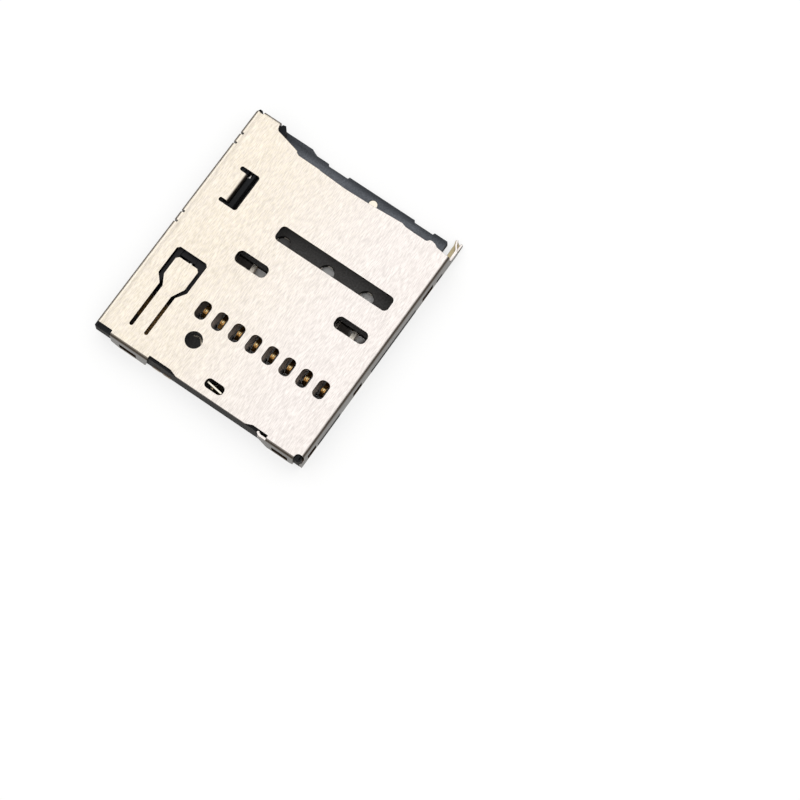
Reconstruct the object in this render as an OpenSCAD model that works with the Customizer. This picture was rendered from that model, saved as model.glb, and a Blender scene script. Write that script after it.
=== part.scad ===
/* [Shell] */
// Width of the shell across the outside of its side walls
shell_w = 13.43; // [13.2:0.01:14.2]
// Length of the shell from its rear walls to its front edge
shell_l = 15.07; // [14.8:0.05:16.5]
// Height of the shell's top above the board
shell_h = 1.45; // [1.42:0.01:1.7]
// Thickness of the shell's sheet
sheet_t = 0.15; // [0.12:0.01:0.17]
// Outer radius of the shell's side folds
fold_r = 0.25; // [0.2:0.01:0.32]
// How far the front solder foot stands out ahead of the shell
foot_out = 0.25; // [0.1:0.01:0.3]

/* [Card] */
// Width of the card that goes in
card_w = 11; // [10.9:0.01:11.05]
// Distance from the middle of the contact row to the card's straight edge
card_edge = 5.02; // [4.95:0.01:5.1]
// Gap beside the card on each side
card_gap = 0.07; // [0.03:0.01:0.08]
// Height of the card bay's floor above the board
floor_top = 0.45; // [0.42:0.01:0.5]
// Distance from the middle of the contact row back to the rear walls
row_to_rear = 3.95; // [3.9:0.05:4.4]

/* [Contacts] */
// Distance from one contact to the next
pitch = 1.1; // [1.05:0.01:1.12]
// Thickness of the contact strip
strip_t = 0.12; // [0.1:0.01:0.13]
// Height of the contact strip above the board
strip_z = 0.15; // [0.14:0.01:0.17]
// Width of a contact beam at its root
beam_w = 0.5; // [0.4:0.01:0.54]
// Width of a contact beam at its tip
tip_w = 0.24; // [0.2:0.01:0.3]
// Height of a contact tip above the board
tip_top = 0.86; // [0.78:0.01:1]
// Width of the solder tail
tail_w = 0.33; // [0.28:0.01:0.38]

/* [Housing] */
// Gap between the board and the underside of the housing
standoff = 0.03; // [0.02:0.01:0.05]
// Thickness of the housing's rear wall
rear_wall_t = 0.35; // [0.3:0.01:0.4]
// Radius of the front pilot holes
pilot_r = 0.435; // [0.38:0.01:0.48]
// Radius of the round openings that show the floor plate
dot_r = 0.26; // [0.2:0.01:0.3]

/* [Eject mechanism] */
// Travel of the slider
stroke = 2.8; // [2.6:0.05:2.9]
// Travel at which the cam holds the card
lock_travel = 2.3; // [2.2:0.05:2.35]
// Outer diameter of the eject spring
spring_od = 0.86; // [0.8:0.01:0.9]
// Diameter of the spring's wire
spring_wire = 0.13; // [0.1:0.01:0.14]
// Turns of the spring
spring_turns = 17; // [12:1:18]
// Diameter of the cam pin's wire
pin_d = 0.26; // [0.22:0.01:0.28]
// Gap between moving pieces and what guides them
slide_gap = 0.05; // [0.03:0.01:0.06]
// Side step of the cam pin from one lane of the cam to the other
lane_step = 0.6; // [0.58:0.01:0.64]

/* [Hidden] */
$fn = 48;
eps = 0.01;

// Outer faces, measured from the middle of the contact row
x_right = card_edge + card_gap + sheet_t;
x_left = x_right - shell_w;
y_rear = -row_to_rear;
y_front = y_rear + shell_l;
lid_z = shell_h - sheet_t;
bay_right = card_edge + card_gap;
bay_left = bay_right - card_w - 2 * card_gap;
in_left = x_left + sheet_t;
in_rear = y_rear + sheet_t;
tongue_out = 0.03;
// The top's main front edge, behind the tip of the slider's cover
lip_y = y_front - 1.09;
// Where the housing's right side steps in beside the solder foot
step_y = lip_y - 0.43;
plate_top = standoff + sheet_t;

// The contact window and the rows of openings round it
window_front = 3.96;
window_rear = -0.57;
window_side = 4 * pitch + 0.1;
pilot_y = 5.75;
pilot_x = [-2.79, 0.1, 2.68];
rear_pilot_y = -1.41;
rear_pilot_x = [-2.72, 0.04, 3.31];
front_dots = [
    [3.815, y_front - 1.07], [1.344, y_front - 1.32], [-0.07, y_front - 0.77],
    [-0.038, y_front - 2.22], [-1.638, y_front - 1.32], [-4.397, y_front - 1.14],
    [4.385, 7.01], [-4.379, 7.03]
];
ring_x = [-2.53, 2.445];
ring_y = y_front - 2.76;
ring_slot = [2.39, 0.54];
ring_w = 0.34;

// The slider's lane, its cam and the pin
lane_in = -window_side - 0.62;
lane_wall = 0.27;
lane_wall_front = 2.4;
slider_home = 5.4;
slider_rear = in_rear + rear_wall_t + slide_gap * 2 + stroke;
slider_z = plate_top + 0.03;
roof_t = 0.1;
roof_z = lid_z - 0.14;
pin_z = roof_z - roof_t - slide_gap - pin_d / 2;
pin_bend = 0.16;
pivot_x = lane_in - 1.21;
pivot_y = 8.15;
cam_y = 1;
cam_x = pivot_x + 0.35;
pin_leg = 0.5;
cam_top = pin_z - pin_d / 2 - slide_gap;
groove_z = pin_z - pin_leg - slide_gap;
lane_gap = 0.02;
lane_b = cam_x - lane_step;
spring_x = in_left + 0.07 + spring_od / 2;
spring_z = plate_top + 0.06 + spring_od / 2;
spring_wall = spring_x + spring_od / 2 + 0.06;
spring_seat = in_rear + rear_wall_t + 0.33;
spring_front = slider_home - 1.45;

post_r = 0.2;
post_z = 0.92;
post_c = [x_right - post_r - 0.02, y_rear + post_r];

// Openings of the slider's base plate
bay_hole_y = [y_front - 1.21, y_front - 0.74];
spring_hole_y = [spring_seat + 0.03, spring_seat + 1.23];
plate_front = y_front - 0.5;
plate_rear = in_rear + 0.21;
plate_lip_z = 0.36;

// The card detect switch
leaf_x = -0.8;
leaf_w = 0.42;
switch_y = [-3.51, -2.43];
pad_t = 0.12;

module place() {
    shift_x = -(x_right + x_left - tongue_out) / 2;
    shift_y = -(y_front + foot_out + y_rear) / 2;
    translate([shift_x, shift_y, 0]) children();
}

// A block given by its low and high corners
module block(a, b) {
    translate(a) cube([b[0] - a[0], b[1] - a[1], b[2] - a[2]]);
}

// A flat outline raised between two heights
module raised(z0, z1) {
    translate([0, 0, z0]) linear_extrude(z1 - z0) children();
}

module oblong(c, size, r) {
    w = size[0] - 2 * r;
    l = size[1] - 2 * r;
    translate(c) {
        square([size[0], l], center = true);
        square([w, size[1]], center = true);
        for (sx = [-1, 1], sy = [-1, 1]) translate([sx * w / 2, sy * l / 2]) circle(r);
    }
}

module rect(x0, x1, y0, y1) {
    translate([x0, y0]) square([x1 - x0, y1 - y0]);
}

// Points beside a path, w / 2 to its left
function beside(p, w) = [
    for (i = [0:len(p) - 1])
        let (a = p[max(i - 1, 0)], b = p[min(i + 1, len(p) - 1)], d = (b - a) / norm(b - a))
            p[i] + w / 2 * [-d[1], d[0]]
];

// A strip of even width along a path
module ribbon(p, w) {
    back = beside(p, -w);
    polygon(concat(beside(p, w), [for (i = [len(p) - 1:-1:0]) back[i]]));
}

// Shell

module spoon_outline(grow, front) {
    polygon([
        [-5.7 + grow * 0.22, -2.75], [-5.7 + grow * 0.22, -0.36 + grow * 0.05],
        [-5.33 + grow * 0.23, 0.36 - grow * 0.1], [-5.33 + grow * 0.23, front - 0.15],
        [-5.48 + grow * 0.23, front],
        [-6.64 - grow * 0.29, front], [-6.79 - grow * 0.29, front - 0.15],
        [-6.79 - grow * 0.29, 0.5 - grow * 0.1], [-6.45 - grow * 0.23, -0.1 + grow * 0.05],
        [-6.45 - grow * 0.23, -2.75]
    ]);
}

// Side edges of the two rear walls and of the short front wall, and the radius of their folds
wall_1 = [-7.15, -4.7];
wall_2 = [3, 4.79];
front_wall = [-7.72, -6.64];
end_fold_r = 0.2;

module top_outline() {
    difference() {
        polygon([
            [x_left + fold_r, in_rear + 0.15],
            [wall_1[0], in_rear + 0.15], [wall_1[0], in_rear], [wall_1[1], in_rear],
            [wall_1[1], in_rear + 0.15], [-3.35, in_rear + 0.15], [-2.9, in_rear],
            [1.6, in_rear], [1.73, in_rear + 0.04], [2.02, in_rear + 0.165], [wall_2[0], in_rear + 0.15],
            [wall_2[0], in_rear], [wall_2[1], in_rear], [wall_2[1], post_c[1]],
            [x_right - fold_r, post_c[1]], [x_right - fold_r, lip_y - 0.07], [4.67, lip_y - 0.04],
            [4.35, lip_y], [4.17, lip_y + 0.11], [3.96, lip_y + 0.155], [3.81, lip_y + 0.136],
            [3.7, lip_y], [3.59, lip_y - 0.02], [2.94, lip_y - 0.02], [2.31, lip_y],
            [2.05, lip_y + 0.08], [1.03, lip_y + 0.02], [0, lip_y - 0.04], [-1.61, lip_y - 0.08],
            [-3.3, lip_y], [-3.36, lip_y + 0.027], [-4.76, lip_y + 0.046], [-4.91, lip_y + 0.117],
            [-5.01, lip_y + 0.22], [-6, lip_y + 0.47], [-6.47, lip_y + 0.575], [-6.57, lip_y + 0.68],
            [front_wall[1], y_front - end_fold_r], [x_left + fold_r, y_front - end_fold_r]
        ]);
        translate(post_c) circle(post_r + 0.02);
        // Window over the front end of the cam pin, with the notches that free the lug
        oblong([lug_x + 0.475, 6.695], [0.95, 2.33], 0.16);
        oblong([lug_x - 0.04, 7.73], [0.48, 0.26], 0.12);
        oblong([lug_x - 0.04, 5.65], [0.36, 0.24], 0.11);
        oblong([0.52, 5.915], [7.35, 0.93], 0.27);
        for (x = [-3.24, 3.245]) oblong([x, 3.59], [2, 0.76], 0.3);
        for (i = [-3.5:1:3.5]) oblong([i * pitch, 0], [0.68, 1.07], 0.28);
        translate([-3.29, -1.615]) circle(0.49);
        oblong([leaf_x - 0.07, -3.09], [1.16, 0.57], 0.25);
        // Slot round the hold-down spring
        spoon_outline(1, 2.22);
        for (x = [-6.565, -5.59]) translate([x, -2.75]) circle(0.11);
    }
}

// Slits that free the two tongues of the slider-side wall
tongue_slits = [9.39, 8.75, 3.95, 3.3];
slit_w = 0.13;

module left_wall() {
    wall_z = 0.05;
    difference() {
        union() {
            translate([x_left, in_rear + 0.15, shell_h]) left_fold(y_front - 0.32 - in_rear);
            block([x_left, in_rear + 0.15, wall_z], [in_left, y_front - 0.28, shell_h - fold_r]);
            for (y = [tongue_slits[1], tongue_slits[3]])
                block([x_left - tongue_out, y + slit_w, wall_z + 0.2],
                    [in_left - tongue_out, y + 0.62, 0.9]);
        }
        for (y = tongue_slits)
            block([x_left - 1, y - slit_w / 2, -1], [x_left + 0.46, y + slit_w / 2, shell_h + 1]);
    }
}

module left_fold(len) {
    translate([fold_r, len, -fold_r]) rotate([90, 0, 0]) linear_extrude(len) intersection() {
        difference() {
            circle(fold_r);
            circle(fold_r - sheet_t);
        }
        translate([-fold_r, 0]) square(fold_r);
    }
}

module right_fold(len) {
    translate([-fold_r, len, -fold_r]) rotate([90, 0, 0]) linear_extrude(len) intersection() {
        difference() {
            circle(fold_r);
            circle(fold_r - sheet_t);
        }
        square(fold_r);
    }
}

// Deep stretches of the right wall and their latch slots
right_tabs = [[6.8, 8.74, 7.4, 8.4], [-0.25, 2.6, 0.95, 1.75], [in_rear, -2.3, -3.22, -2.47]];
tab_z = 0.05;
latch_z = [0.14, 0.7];
right_start = in_rear + 0.27;

module right_wall() {
    arm_y = lip_y - 0.75;
    arm_top = 0.5;
    difference() {
        union() {
            translate([x_right, right_start, shell_h]) right_fold(lip_y - 0.07 - right_start);
            block([bay_right, right_start, floor_top], [x_right, lip_y - 0.07, shell_h - fold_r]);
            block([bay_right, in_rear, floor_top], [x_right, right_start, post_z - 0.04]);
            for (t = right_tabs) block([bay_right, t[0], tab_z], [x_right, t[1], floor_top]);
            block([bay_right, arm_y, 0], [x_right, lip_y + 0.7, arm_top]);
            translate([bay_right, lip_y - 0.07, arm_top]) rotate([90, 0, 90]) linear_extrude(sheet_t)
                polygon([[0, -eps], [0, 0.3], [0.04, 0.14], [0.12, 0.04], [0.3, -eps]]);
            solder_foot(arm_top);
        }
        for (t = right_tabs) block([bay_right - 1, t[2], latch_z[0]], [x_right + 1, t[3], latch_z[1]]);
    }
}

// Foot ahead of the right wall: a flat plate, a straight prong and a strip that bends in over them
module solder_foot(arm_top) {
    tip = y_front + foot_out;
    mid = x_right - sheet_t / 2;
    translate([x_right, 0, 0]) raised(0, 0.12) polygon([
        [0, lip_y + 0.5], [-0.03, tip - 0.1], [-0.14, tip - 0.02], [-0.2, tip - 0.18],
        [-0.34, tip - 0.06], [-0.42, tip], [-0.52, tip - 0.02], [-0.5, tip - 0.14], [-0.45, tip - 0.32],
        [-0.42, lip_y - 0.28], [eps - sheet_t, lip_y - 0.28], [eps - sheet_t, lip_y + 0.5]
    ]);
    block([bay_right, lip_y + 0.6, 0], [x_right - 0.04, tip - 0.08, 0.22]);
    translate([mid, 0, 0]) raised(0.24, arm_top) ribbon([
        [0, lip_y + 0.6], [-0.02, lip_y + 0.69], [-0.09, tip - 0.53], [-0.2, tip - 0.38],
        [-0.28, tip - 0.2], [-0.31, tip - 0.09]
    ], 0.1);
}

// Quarter fold at an end of the top, from x0 to x1, with side -1 for the rear and 0 for the front
module end_fold(x0, x1, y, side) {
    r = end_fold_r;
    translate([x0, y, shell_h - r]) rotate([90, 0, 90]) linear_extrude(x1 - x0) intersection() {
        difference() {
            circle(r);
            circle(r - sheet_t);
        }
        translate([side * r, 0]) square(r);
    }
}

module rear_fold(x0, x1) {
    end_fold(x0, x1, y_rear + end_fold_r, -1);
    block([x0, y_rear + end_fold_r - eps, lid_z], [x1, in_rear + 0.1, shell_h]);
}

// Short wall folded down between the two nubs of the housing's front corner
module front_fold() {
    end_fold(front_wall[0], front_wall[1], y_front - end_fold_r, 0);
    block([front_wall[0], y_front - sheet_t, 0.6], [front_wall[1], y_front, shell_h - end_fold_r + eps]);
    block([front_wall[0], y_front - end_fold_r - 0.1, lid_z],
        [front_wall[1], y_front - end_fold_r + eps, shell_h]);
}

rear_latch_z = [0.22, 0.8];
rear_slots = [[-6.6, -5.48], [3.38, 4.42]];

module rear_wall(outline, x0, x1, slot) {
    rear_fold(x0, x1);
    difference() {
        translate([0, in_rear, 0]) rotate([90, 0, 0]) linear_extrude(sheet_t) polygon(outline);
        block([slot[0], y_rear - 1, rear_latch_z[0]], [slot[1], in_rear + 1, rear_latch_z[1]]);
    }
}

// Lug curled down from the window's edge over the cam pin
lug_x = pivot_x - 0.33;
lug_y = [5.77, 7.6];
lug_r = 0.3;
lug_z = pin_z + pin_d / 2 + slide_gap + 0.02;

module shell_lug() {
    translate([lug_x, lug_y[1], shell_h - lug_r]) rotate([90, 0, 0]) linear_extrude(lug_y[1] - lug_y[0]) {
        intersection() {
            difference() {
                circle(lug_r);
                circle(lug_r - sheet_t);
            }
            square(lug_r);
        }
        rect(lug_r - sheet_t, lug_r, lug_z - shell_h + lug_r, 0);
        rect(-0.02, eps, lug_r - sheet_t, lug_r);
    }
}

// Hook at the end of the second rear wall, bent forward beside a notch
module rear_hook() {
    raised(0.86, 1.38) ribbon([
        [wall_2[0] + eps, y_rear + sheet_t / 2], [2.66, y_rear + sheet_t / 2], [2.55, y_rear + 0.1],
        [2.47, y_rear + 0.15], [2.43, y_rear + 0.22]
    ], sheet_t - 0.02);
}

module cover_shell() {
    wall_top = shell_h - 0.2;
    place() color([0.93, 0.9, 0.86]) {
        raised(lid_z, shell_h) top_outline();
        hold_down();
        shell_lug();
        left_wall();
        right_wall();
        rear_wall([[wall_1[0], wall_top], [wall_1[0], 0.33], [-6.65, 0.05], [-4.92, 0.05],
            [-4.85, 0.3], [wall_1[1], wall_top]], wall_1[0], wall_1[1], rear_slots[0]);
        rear_wall([[wall_2[0], wall_top], [wall_2[0], 1.3], [2.7, 1.3], [2.5, 1.2], [2.5, 0.86],
            [2.96, 0.16], [3.08, 0.05], [4.5, 0.05], [4.74, 0.2], [wall_2[1], wall_top]],
            wall_2[0], wall_2[1], rear_slots[1]);
        rear_hook();
        front_fold();
    }
}

// The spring that holds the cam pin down, dipped a little towards its end
module hold_down() {
    dip = 0.4;
    translate([0, -2.75, lid_z]) rotate([-dip, 0, 0]) translate([0, 2.75, 0])
        raised(0, sheet_t) {
            difference() {
                spoon_outline(0, 1.72);
                rect(-8, -4, -3, -2.75);
            }
            rect(-6.45, -5.7, -2.8, -2.7);
        }
}

// Contacts

// The strip's outline on the board plane for the contact whose tip is at x = 0
module contact_plan() {
    bar = pitch / 2;
    root = 2.5;
    yoke = window_front - 0.86;
    union() {
        polygon([
            [bar - 0.13, window_front + 0.3], [bar - 0.13, 2.3], [bar - 0.21, 0.9],
            [bar - 0.21, window_rear - 0.13], [bar + 0.21, window_rear - 0.13],
            [bar + 0.21, 0.9], [bar + 0.13, 2.3], [bar + 0.13, window_front + 0.3]
        ]);
        polygon([
            [-beam_w / 2, root], [bar, root], [bar, yoke - 0.08],
            [tail_w / 2 + 0.08, yoke - 0.08], [tail_w / 2 + 0.03, yoke],
            [-tail_w / 2 - 0.03, yoke], [-beam_w / 2 - 0.03, yoke - 0.25]
        ]);
    }
}

// Middle and radius of the arc that the strip follows over the contact point, and its bead's height
crest_r = 0.3;
bead = 0.02;
crest_c = [0.25, tip_top - bead - strip_t / 2 - crest_r];

// Side view of the beam, from its root over the contact point to its turned-down end
module beam_side() {
    root = 2.5;
    low = strip_z + strip_t / 2;
    crown = [for (a = [-16:8:40]) crest_c + crest_r * [-sin(a), cos(a)]];
    end = crown[len(crown) - 1] - 0.24 * [cos(40), sin(40)];
    flat = [[root, low], [root - 0.13, low], [root - 0.2, low + 0.015]];
    ribbon(concat(flat, crown, [end]), strip_t);
}

// Rounded bead pressed up along the contact point
module contact_bead() {
    long_r = 0.25;
    r = tip_w / 2;
    foot = tip_top - bead - 0.6 * strip_t;
    intersection() {
        translate([0, crest_c[0], tip_top - r]) rotate([90, 0, 0]) rotate_extrude() intersection() {
            translate([r - long_r, 0]) circle(long_r);
            translate([0, -1]) square([1, 2]);
        }
        block([-1, -1, foot], [1, 1, foot + 1]);
    }
}

module beam() {
    intersection() {
        rotate([90, 0, 90]) translate([0, 0, -1]) linear_extrude(2) beam_side();
        raised(0, shell_h) polygon([
            [-beam_w / 2, 2.5], [-beam_w / 2, 1.9], [-tip_w / 2, 0.55], [-tip_w / 2, -0.2],
            [tip_w / 2, -0.2], [tip_w / 2, 0.55], [beam_w / 2, 1.9], [beam_w / 2, 2.5]
        ]);
    }
}

// Side view of the solder tail, which steps down from the yoke to the board
module tail() {
    y0 = window_front - 0.86;
    translate([-tail_w / 2, 0, 0]) rotate([90, 0, 90]) linear_extrude(tail_w) polygon([
        [y0 - eps, strip_z], [y0, strip_z], [y0 + 0.12, 0], [y0 + 0.46, 0], [y0 + 0.46, strip_t],
        [y0 + 0.21, strip_t], [y0 + 0.09, strip_z + strip_t], [y0 - eps, strip_z + strip_t]
    ]);
}

module contact(n) {
    place() translate([(4.5 - n) * pitch, 0, 0]) color([0.82, 0.76, 0.66]) {
        raised(strip_z, strip_z + strip_t) contact_plan();
        beam();
        contact_bead();
        tail();
    }
}

module contact_1() { contact(1); }
module contact_2() { contact(2); }
module contact_3() { contact(3); }
module contact_4() { contact(4); }
module contact_5() { contact(5); }
module contact_6() { contact(6); }
module contact_7() { contact(7); }
module contact_8() { contact(8); }

// Metal plates moulded into the floor

module floor_plate_plan() {
    side = bay_right - 0.33;
    tab_y = y_front - 0.26;
    lug_w = 0.33;
    difference() {
        union() {
            rect(-side, side, pilot_y - 1, step_y - 0.15);
            rect(-side, side - 0.46, step_y - 0.16, y_front - 0.62);
            for (x = [-2.76, 2.82]) rect(x - 0.32, x + 0.32, y_front - 0.7, tab_y);
        }
        for (x = ring_x) oblong([x, ring_y], ring_slot, ring_slot[1] / 2 - eps);
        // Four lugs reach a little way into each pilot hole
        for (x = pilot_x) translate([x, pilot_y]) {
            circle(pilot_r - 0.03);
            difference() {
                circle(pilot_r + 0.12);
                square([2, lug_w], center = true);
                square([lug_w, 2], center = true);
            }
        }
    }
}

module floor_plate_solid() {
    raised(strip_z, strip_z + strip_t) floor_plate_plan();
    // Disc that fills the opening ahead of the cover
    translate(front_dots[2]) translate([0, 0, strip_z])
        cylinder(r = dot_r - 0.01, h = floor_top - strip_z - 0.02);
}

module floor_plate() {
    place() color([0.85, 0.82, 0.78]) floor_plate_solid();
}

module ground_plate_plan() {
    bar = -4 * pitch;
    difference() {
        union() {
            rect(-4.55, 4.65, rear_pilot_y - 0.75, rear_pilot_y + 0.66);
            rect(-4.55, -3.1, -2.9, rear_pilot_y - 0.7);
            // Cut ends of the ties to the strip, in the housing's rear face
            for (x = [[-4.5, -4], [-3.8, -3.3]]) rect(x[0], x[1], y_rear + 0.09, -2.8);
            rect(3.95, 4.65, -2.5, rear_pilot_y - 0.7);
            // The ninth bar, which closes the row
            polygon([
                [bar - 0.13, window_front + 0.3], [bar - 0.13, rear_pilot_y], [bar + 0.14, rear_pilot_y],
                [bar + 0.14, window_rear + 0.2], [bar + 0.3, 0.3], [bar + 0.24, 1.1],
                [bar + 0.02, 2.6], [bar + 0.02, window_front + 0.3]
            ]);
        }
        for (x = rear_pilot_x) translate([x, rear_pilot_y]) square(2 * rear_hole, center = true);
    }
}

rear_hole = 0.27;

// Edge of the plate turned up to the tray's floor
module ground_plate_rim() {
    raised(strip_z + strip_t - eps, floor_top) ribbon([
        [-3.68, rear_pilot_y + 0.22], [-3.4, rear_pilot_y + 0.3], [-3.28, rear_pilot_y + 0.28],
        [-3.04, rear_pilot_y + 0.04]
    ], 0.08);
}

module ground_plate_solid() {
    raised(strip_z, strip_z + strip_t) ground_plate_plan();
    ground_plate_rim();
}

module ground_plate() {
    place() color([0.9, 0.75, 0.42]) ground_plate_solid();
}

// The card detect switch and the ground pad

leaf_hole = [leaf_x - 0.25, leaf_x + 0.25, -3.19, -2.53];

module leaf_pad() {
    x = [-1.4, -0.18];
    polygon([
        [x[0], switch_y[0]], [x[1], switch_y[0]], [x[1], switch_y[1] - 0.3],
        [x[1] - 0.25, switch_y[1]], [x[0] + 0.25, switch_y[1]], [x[0], switch_y[1] - 0.3]
    ]);
}

leaf_head = [leaf_x - 0.1, -3.07];
leaf_head_z = [0.74, 1.18];
leaf_head_l = 1;
leaf_head_turn = -8;

module switch_leaf() {
    rear = leaf_hole[2];
    place() color([0.9, 0.75, 0.42]) {
        raised(0, pad_t) difference() {
            leaf_pad();
            rect(leaf_hole[0], leaf_hole[1], leaf_hole[2], leaf_hole[3]);
        }
        // The leaf rises from the rear edge of the opening to an upright head
        translate([leaf_x - leaf_w / 2, 0, 0]) rotate([90, 0, 90]) linear_extrude(leaf_w) polygon([
            [rear - 0.12, pad_t - eps], [rear, pad_t - eps], [rear + 0.02, 0.4],
            [leaf_head[1] + 0.04, leaf_head_z[0] - 0.04], [leaf_head[1] + 0.04, leaf_head_z[0] + 0.06],
            [leaf_head[1] - 0.04, leaf_head_z[0] + 0.06], [rear - 0.08, 0.45]
        ]);
        translate([leaf_head[0], leaf_head[1], leaf_head_z[0]]) rotate([0, 0, leaf_head_turn])
            translate([-leaf_head_l / 2, -0.05, 0])
                cube([leaf_head_l, 0.1, leaf_head_z[1] - leaf_head_z[0]]);
    }
}

// An eight-sided pad with cut corners
module cut_pad(c, size, cut) {
    x = size[0] / 2;
    y = size[1] / 2;
    translate(c) polygon([
        [-x, cut - y], [cut - x, -y], [x - cut, -y], [x, cut - y],
        [x, y - cut], [x - cut, y], [cut - x, y], [-x, y - cut]
    ]);
}

terminal_c = [1.91, -2.89];

module terminal_pad() {
    cut_pad(terminal_c, [1.18, 0.96], 0.2);
}

module terminal_arm() {
    post = leaf_x + leaf_w / 2 + 0.21;
    y = [-3.3, -3.12];
    block([terminal_c[0] - 0.5, y[0], pad_t - eps], [terminal_c[0] - 0.2, y[1], 0.36]);
    block([post, y[0], 0.24], [terminal_c[0] - 0.2, y[1], 0.36]);
    block([post, y[0], 0.24], [post + 0.18, y[1], leaf_head_z[0] - 0.08]);
}

module switch_terminal() {
    place() color([0.9, 0.75, 0.42]) {
        raised(0, pad_t) difference() {
            terminal_pad();
            translate(terminal_c + [-0.05, 0.03]) square([0.26, 0.3], center = true);
        }
        terminal_arm();
    }
}

ground_c = [3.79, -3.365];

module ground_pad() {
    cut_pad(ground_c, [1.58, 0.65], 0.205);
}

module ground_terminal() {
    place() color([0.9, 0.75, 0.42]) difference() {
        raised(0, pad_t) ground_pad();
        raised(-eps, 0.04) oblong(ground_c, [0.95, 0.17], 0.08);
    }
}

// Base plate under the slider

module base_plan() {
    inner = lane_in;
    wide = lane_in + 0.14;
    outer = in_left + 0.33;
    difference() {
        union() {
            rect(outer, inner, plate_rear, plate_front - 0.07);
            for (y = [[9.7, plate_front], [5.74, 6.71], [1.79, 2.8], [-2.12, -1.16], [plate_rear, -2.6]])
                rect(inner - 0.5, wide, y[0], y[1]);
            rect(-7.0, -6.35, plate_front - 0.3, plate_front);
        }
        polygon([
            [-5.45, plate_front + 1], [-5.5, plate_front], [-5.75, plate_front - 0.09],
            [-6.2, plate_front - 0.26], [-6.32, plate_front - 0.2], [-6.36, plate_front + 1]
        ]);
        oblong([-6.88, plate_front], [0.32, 0.66], 0.14);
        translate([-5.55, y_front - 1.07]) circle(0.24);
        rect(x_left, -7.4, bay_hole_y[0], y_front);
        rect(x_left, -6.81, spring_hole_y[0], spring_hole_y[1]);
        oblong([-5.94, plate_rear - 0.1], [0.68, 1.68], 0.3);
        rect(x_left, -7.55, plate_rear - 1, spring_hole_y[0] + eps);
        rect(x_left, -6.85, plate_rear - 1, plate_rear + 0.13);
    }
}

module base_plate_solid() {
    lip = [spring_hole_y[1], bay_hole_y[0]];
    r = 0.25;
    edge = in_left + r;
    raised(standoff, plate_top) base_plan();
    raised(standoff, plate_top) rect(edge, in_left + 0.34, lip[0], lip[1]);
    translate([edge, lip[1], standoff + r]) rotate([90, 0, 0]) linear_extrude(lip[1] - lip[0]) {
        intersection() {
            difference() {
                circle(r);
                circle(r - sheet_t);
            }
            translate([-r, -r]) square(r);
        }
        rect(-r, sheet_t - r, 0, plate_lip_z - standoff - r);
    }
}

module slider_base_plate() {
    place() color([0.85, 0.82, 0.78]) base_plate_solid();
}

// Housing

module floor_plan() {
    edge_y = y_front - 0.2;
    inset_y = y_front - 0.32;
    side_y = y_front - 0.01;
    polygon([
        [lane_in, in_rear], [bay_right, in_rear], [bay_right, step_y],
        [4.5, step_y], [4.5, edge_y - 0.07], [4.44, edge_y], [3.61, edge_y], [3.57, inset_y],
        [2.39, inset_y], [2.3, edge_y], [-1.99, edge_y], [-2.05, inset_y], [-3.3, inset_y],
        [-3.38, edge_y], [-4.15, edge_y], [-4.36, edge_y + 0.08], [-4.58, side_y],
        [bay_left - 0.36, side_y], [bay_left - 0.47, side_y - 0.05], [bay_left - 0.47, edge_y],
        [in_left, edge_y], [in_left, slider_home + slide_gap], [lane_in, slider_home + slide_gap]
    ]);
}

// What the right wall's lower edge stands on, between its deep stretches
module side_ledge() {
    gaps = [
        [right_tabs[1][1], right_tabs[0][0]], [right_tabs[2][1], right_tabs[1][0]],
        [right_tabs[0][1], lip_y - 0.75]
    ];
    for (g = gaps) block([bay_right - eps, g[0] + 0.02, standoff], [x_right, g[1] - 0.02, floor_top]);
    for (t = right_tabs)
        block([bay_right - eps, t[2] + 0.03, latch_z[0] + 0.01], [x_right - 0.11, t[3] - 0.03, floor_top]);
}

module rear_latches() {
    for (x = rear_slots)
        block([x[0] + 0.03, in_rear - 0.04, rear_latch_z[0] + 0.01],
            [x[1] - 0.03, in_rear + eps, rear_latch_z[1] - 0.01]);
}

module front_block() {
    raised(standoff, lid_z) polygon([
        [in_left, slider_home + slide_gap], [bay_left, slider_home + slide_gap],
        [bay_left, y_front - 0.7], [bay_left - 0.13, y_front - 0.2], [bay_left - 0.29, y_front],
        [bay_left - 0.47, y_front - 0.04], [bay_left - 0.5, y_front - 0.16],
        [x_left + 0.42, y_front - 0.16], [x_left + 0.33, y_front - 0.04], [x_left + 0.27, y_front],
        [x_left + 0.14, y_front], [x_left + 0.08, y_front - 0.1], [x_left + 0.08, y_front - 0.16],
        [in_left, y_front - 0.16]
    ]);
}

module rear_corner() {
    corner_z = lid_z + 0.12;
    side = spring_x + spring_od / 2 + 0.04;
    block([side, in_rear, standoff], [lane_in, in_rear + rear_wall_t, lid_z]);
    raised(standoff, lid_z) rect(in_left, side, in_rear, spring_seat);
    // Upper corner behind the shell, with a shallow sunk field
    difference() {
        raised(0.75, corner_z) polygon([
            [x_left + 0.06, in_rear + 0.14], [x_left + 0.06, y_rear + 0.04], [x_left + 0.1, y_rear],
            [wall_1[0] - 0.02, y_rear], [wall_1[0] - 0.02, in_rear + 0.14]
        ]);
        raised(corner_z - 0.04, 2) rect(x_left + 0.2, wall_1[0] - 0.16, y_rear + 0.08, in_rear + 0.07);
    }
    // Round cap at the corner of the right wall
    corner_post(post_z - eps);
}

module corner_post(z) {
    translate([post_c[0], post_c[1], z]) cylinder(r = post_r, h = lid_z + 0.08 - z);
}

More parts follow.
